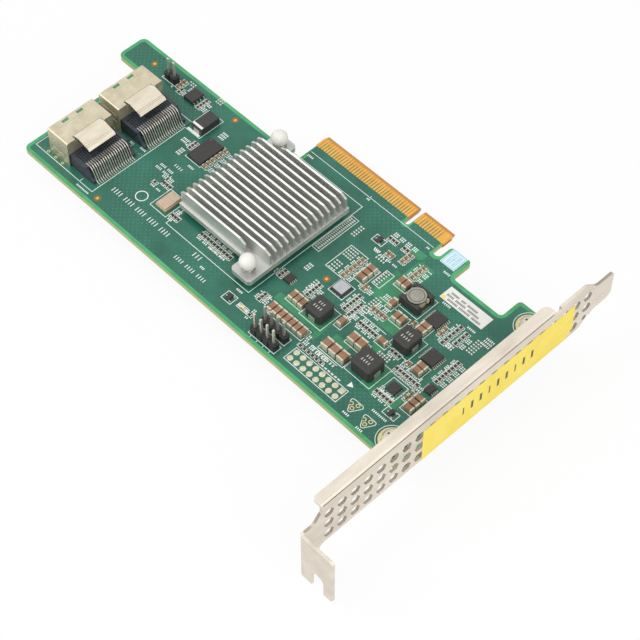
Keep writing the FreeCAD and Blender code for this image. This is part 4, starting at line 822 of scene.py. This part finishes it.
# ------------------------------------------------------------ pin headers
# Black moulded bodies with square gold pins pressed through them, soldered under the board.
header_plastic = finish("black_header_plastic", ["#121315", "#1B1C1F"], 0.8, (0.38, 0.5), bump=0.25,
                        fine=0.05, rim="#36373C", round_mm=0.08)
solder = finish("flowed_solder", ["#B9B597", "#D2CFB4", "#E8E6D2"], 0.45, (0.28, 0.45), bump=0.4,
                fine=0.25, metallic=0.5, round_mm=0.2)
dress(header_plastic, "front_header", "rear_header", "side_header")
dress(solder, "filled_header_holes")

# Each pin and leg that passes through the board ends in a cone of solder in a gold ring below.
joints = begin("solder_joints")
pin_pitch, cone_height, cone_gap = 2.54, 0.85 * mm, 0.01 * mm
joint_x_y = [(x, y) for x in header_pin_x for y in (-65.45, -61.55)]
joint_x_y += [(-91.12, -18.6), (-88.58, -18.6)]
joint_x_y += [(11.54 + pin_pitch * k, y) for k in range(8) for y in (-64.55, -62.01)]
joint_x_y += [(x, y + side) for x in (-92.8, -89.5, -86.2) for y in socket_middles
              for side in (-8.54, 8.54)]
cone_z = board_low.z - cone_height / 2 - cone_gap
for x, y in joint_x_y:
    bpy.ops.mesh.primitive_cone_add(vertices=16, radius1=0.5 * mm, radius2=0.95 * mm,
                                    depth=cone_height, location=(x * mm, y * mm, cone_z))
    bpy.ops.mesh.bevel(offset=0.14 * mm, segments=2)
settle(joints, solder, 50)
under_rings = begin("joint_rings_under")
for x, y in joint_x_y:
    ring(x, y, 1.15, 0.3, board_low.z - film - ink_height, 20)
thicken(ink_height)
settle(under_rings, gold, 30)

# ------------------------------------------------------------ chips
# Integrated circuits in black moulding compound, matt from the mould, with tinned leads.
moulding = finish("chip_moulding_compound", ["#2B2A28", "#33312F", "#3B3937"], 0.9, (0.5, 0.65),
                  bump=0.35, fine=0.05, rim="#55524F", round_mm=0.05)
ceramic_lid = finish("plated_lid", ["#B0B3B8", "#BCBFC4"], 1.5, (0.35, 0.5), metallic=0.35,
                     rim="#E0E2E5", round_mm=0.06)
oscillator = finish("gold_plated_can", ["#C0A98F", "#CEBAA3"], 0.8, (0.35, 0.5), bump=0.2,
                    metallic=0.4, rim="#F0D9A0", round_mm=0.12)
dress(moulding, "controller_chip", "memory_chip", "configuration_chip", "driver_chips",
      "switch_chips", "regulator_chip", "lidded_chip", "transistors")
dress(ceramic_lid, "lidded_chip_cover")
dress(oscillator, "oscillator")

# A moulded dimple on each chip shows its first lead.
dimple = finish("moulded_dimple", ["#4A4846", "#565452"], 0.4, (0.25, 0.35), round_mm=0.02)
dimples = begin("first_lead_dimples")
for name, radius, inset in (("memory_chip", 0.42, 0.95), ("driver_chips", 0.26, 0.65),
                            ("switch_chips", 0.24, 0.6), ("configuration_chip", 0.26, 0.65),
                            ("regulator_chip", 0.22, 0.55)):
    for low, high in solids_in(name):
        disc(low[0] + inset, high[1] - inset, radius, high[2] * mm, 20)
thicken(print_height)
settle(dimples, dimple)

# ------------------------------------------------------------ coils and capacitors
# Power inductors are pressed iron powder blocks. Ceramic capacitors are brown fired ceramic with
# tin ends, resistors are black glaze on white alumina.
iron_powder = finish("pressed_iron_powder", ["#2C2B2A", "#353433", "#403F3D"], 0.7, (0.55, 0.7),
                     bump=0.5, fine=0.07, rim="#5A5855", round_mm=0.1)
sealed_winding = finish("resin_sealed_winding", ["#A59F7E", "#C2BC9C", "#D6D1B5"], 0.7, (0.35, 0.5),
                        bump=0.4, fine=0.15, round_mm=0.1)
tantalum = finish("moulded_capacitor_case", ["#2E2D2D", "#393838"], 0.8, (0.35, 0.5), bump=0.2,
                  rim="#55534F", round_mm=0.1)
ceramic = finish("fired_ceramic", ["#8A664A", "#967256", "#A27F64"], 1.2, (0.3, 0.45), bump=0.15,
                 fine=0.06, rim="#B8967C", round_mm=0.06)
glaze = finish("resistor_glaze", ["#232323", "#2E2D2D"], 0.5, (0.25, 0.4), round_mm=0.03)
led = finish("clear_led_resin", ["#F0D9A0", "#F7E6BC"], 0.5, (0.15, 0.25), round_mm=0.06)
dress(iron_powder, "power_inductors", "drum_inductor")
dress(sealed_winding, "drum_winding")
dress(tantalum, "moulded_capacitor")
barrier_tin = finish("plated_capacitor_end", ["#C2BCA2", "#D3CDB6", "#E2DDCA"], 0.7, (0.3, 0.45),
                     bump=0.15, metallic=0.45, rim="#F2EEE0", round_mm=0.08)
small_ceramic = finish("small_fired_ceramic", ["#7D6440", "#8C724C", "#9B815C"], 0.8, (0.3, 0.45),
                       bump=0.15, fine=0.06, rim="#A98F6C", round_mm=0.05)
dress(ceramic, "ceramic_capacitors")
dress(barrier_tin, "ceramic_capacitor_ends")
dress(small_ceramic, "small_capacitors")
dress(glaze, "chip_resistors")
dress(led, "status_led")

# The drum's top is a ground grey disc with a turned groove, and beads of resin hold it at two
# corners.
ground_ferrite = finish("ground_ferrite", ["#8F8D80", "#9B998B", "#A6A495"], 1.5, (0.35, 0.5),
                        bump=0.2, fine=0.08, rim="#B4B2A8", round_mm=0.08)
drum_x, drum_y, drum_top, disc_height = 22.3, -25.7, 3.2, 0.05
drum_disc = begin("drum_top_disc")
disc(drum_x, drum_y, 2.88, drum_top * mm, 64)
bpy.ops.mesh.extrude_region_move(TRANSFORM_OT_translate={"value": (0, 0, disc_height * mm)})
for width, rise in ((0.45, 0), (0.1, -0.03), (0.12, 0), (0.1, 0.03)):
    bpy.ops.mesh.inset(thickness=width * mm)
    bpy.ops.transform.translate(value=(0, 0, rise * mm))
settle(drum_disc, ground_ferrite, 25)
# A dark ring laid over the groove is painted shade.
groove = begin("drum_groove_painted_shade")
ring(drum_x, drum_y, 2.3, 0.16, (drum_top + disc_height) * mm, 64)
thicken(0.006 * mm)
settle(groove, iron_powder, 25)
resin = begin("drum_resin_beads")
for x, y, long_x, long_y, high in ((25.0, -27.7, 1.1, 1.5, 1.5), (23.9, -28.5, 1.7, 0.9, 1.3),
                                   (25.1, -24.2, 0.9, 1.3, 1.9)):
    place = (x * mm, y * mm, high * mm)
    bpy.ops.mesh.primitive_uv_sphere_add(segments=20, ring_count=12, radius=1.0 * mm,
                                         location=place)
    bpy.ops.transform.resize(value=(long_x * 0.5, long_y * 0.5, 1.1), center_override=place)
settle(resin, sealed_winding, 60)

# Tin end caps wrap the small capacitors and resistors, which are soldered by them.
for name, chips, height in (("resistor_ends", "chip_resistors", 0.4),
                            ("small_capacitor_ends", "small_capacitors", 0.8)):
    caps = begin(name)
    for low, high in solids_in(chips):
        reach = 0.2 * max(high[0] - low[0], high[1] - low[1])
        for far in (0, 1):
            x0, x1, y0, y1 = low[0] - 0.02, high[0] + 0.02, low[1] - 0.02, high[1] + 0.02
            if x1 - x0 > y1 - y0:
                x0, x1 = (x1 - reach, x1 + 0.03) if far else (x0 - 0.03, x0 + reach)
            else:
                y0, y1 = (y1 - reach, y1 + 0.03) if far else (y0 - 0.03, y0 + reach)
            strip(x0, x1, y0, y1, film)
    thicken(height * mm)
    face_outward()
    bpy.ops.mesh.bevel(offset=0.05 * mm, segments=1)
    settle(caps, barrier_tin, 40)

# The value marks on the pressed coils are plain bars here.
coil_marks = begin("coil_bars")
for x, y, top in ((6.3, -48.1, 4.0), (29.0, -51.8, 4.6), (30.7, -38.0, 4.0)):
    for row, count in ((0.85, 3), (-0.85, 4)):
        for k in range(count):
            mx = x + (k - (count - 1) / 2) * 0.85
            strip(mx - 0.14, mx + 0.14, y + row - 0.45, y + row + 0.45, top * mm)
thicken(print_height)
coil_ink = finish("pale_coil_print", ["#B9B9B4", "#CFCFCA"], 0.5, (0.5, 0.6), round_mm=0.01)
settle(coil_marks, coil_ink)

# A pale band marks the positive end of the moulded capacitor.
band = begin("polarity_band")
strip(-70.35, -66.25, -27.45, -26.6, 2.8 * mm)
thicken(0.01 * mm)
settle(band, white_paper)

# ------------------------------------------------------------ studio
# A pale floor just under the lowest point, soft light from above, and the camera.
floor_z = cad_box[0][2] - 0.05 * mm
floor_size = 6.0
floor = begin("studio_floor")
bpy.ops.mesh.primitive_plane_add(size=floor_size, location=(0, 0, floor_z))
bpy.ops.object.mode_set(mode="OBJECT")
backdrop = bpy.data.materials.new("pale_floor")
backdrop.use_nodes = True
backdrop.node_tree.nodes.clear()


def seen_plainly(owner):
    """1 for rays from the camera, off gloss or through glass, and 0 for the rest."""
    rays = add(owner, "ShaderNodeLightPath").outputs
    plainly = rays["Is Camera Ray"]
    for kind in ("Is Glossy Ray", "Is Transmission Ray"):
        plainly = add(owner, "ShaderNodeMath", {0: plainly, 1: rays[kind]},
                      operation="MAXIMUM").outputs[0]
    return plainly


# Seen plainly, the floor is mostly an even glow and the air is white. The rest of the light comes
# from the air at half strength, and from the lamps.
glow_share, air_level = 0.92, 0.5
plain = add(backdrop, "ShaderNodeBsdfDiffuse", {"Color": colour("#F4F4F4")})
glow = add(backdrop, "ShaderNodeEmission", {"Color": (1, 1, 1, 1), "Strength": 1.0})
share = add(backdrop, "ShaderNodeMath", {0: seen_plainly(backdrop), 1: glow_share},
            operation="MULTIPLY")
both = add(backdrop, "ShaderNodeMixShader", {0: share.outputs[0], 1: plain.outputs[0],
                                             2: glow.outputs[0]})
add(backdrop, "ShaderNodeOutputMaterial", {"Surface": both.outputs[0]})
floor.data.materials.append(backdrop)

world = bpy.data.worlds.new("studio_air")
bpy.context.scene.world = world
world.use_nodes = True
world.node_tree.nodes.clear()
level = add(world, "ShaderNodeMapRange", {"Value": seen_plainly(world), "To Min": air_level,
                                          "To Max": 1.0})
air = add(world, "ShaderNodeBackground", {"Color": (1, 1, 1, 1), "Strength": level.outputs[0]})
add(world, "ShaderNodeOutputWorld", {"Surface": air.outputs[0]})


def lamp(name, size, energy, place, target):
    """A square area lamp that looks at a point."""
    bpy.ops.object.select_all(action="DESELECT")
    bpy.ops.object.light_add(type="AREA", location=place)
    light = bpy.context.object
    light.name = name
    light.data.size = size
    light.data.energy = energy
    aim = Vector(target) - Vector(place)
    light.rotation_euler = aim.to_track_quat("-Z", "Y").to_euler()


middle = (-0.025, -0.035, 0.0)
lamp("softbox_over", 0.8, 4.6, (-0.45, -0.4, 0.75), middle)
lamp("softbox_side", 0.6, 2.2, (0.55, -0.15, 0.5), middle)

bpy.ops.object.camera_add(location=(0.24468, -0.27679, 0.44526),
                          rotation=[math.radians(a) for a in (36.392, 0.060, 46.103)])
camera = bpy.context.object
camera.name = "camera"
camera.data.lens = 111.157
camera.data.sensor_width = 36.0
camera.data.clip_start = 0.01
camera.data.clip_end = 20.0
bpy.context.scene.camera = camera
bpy.context.scene.view_settings.view_transform = "Standard"
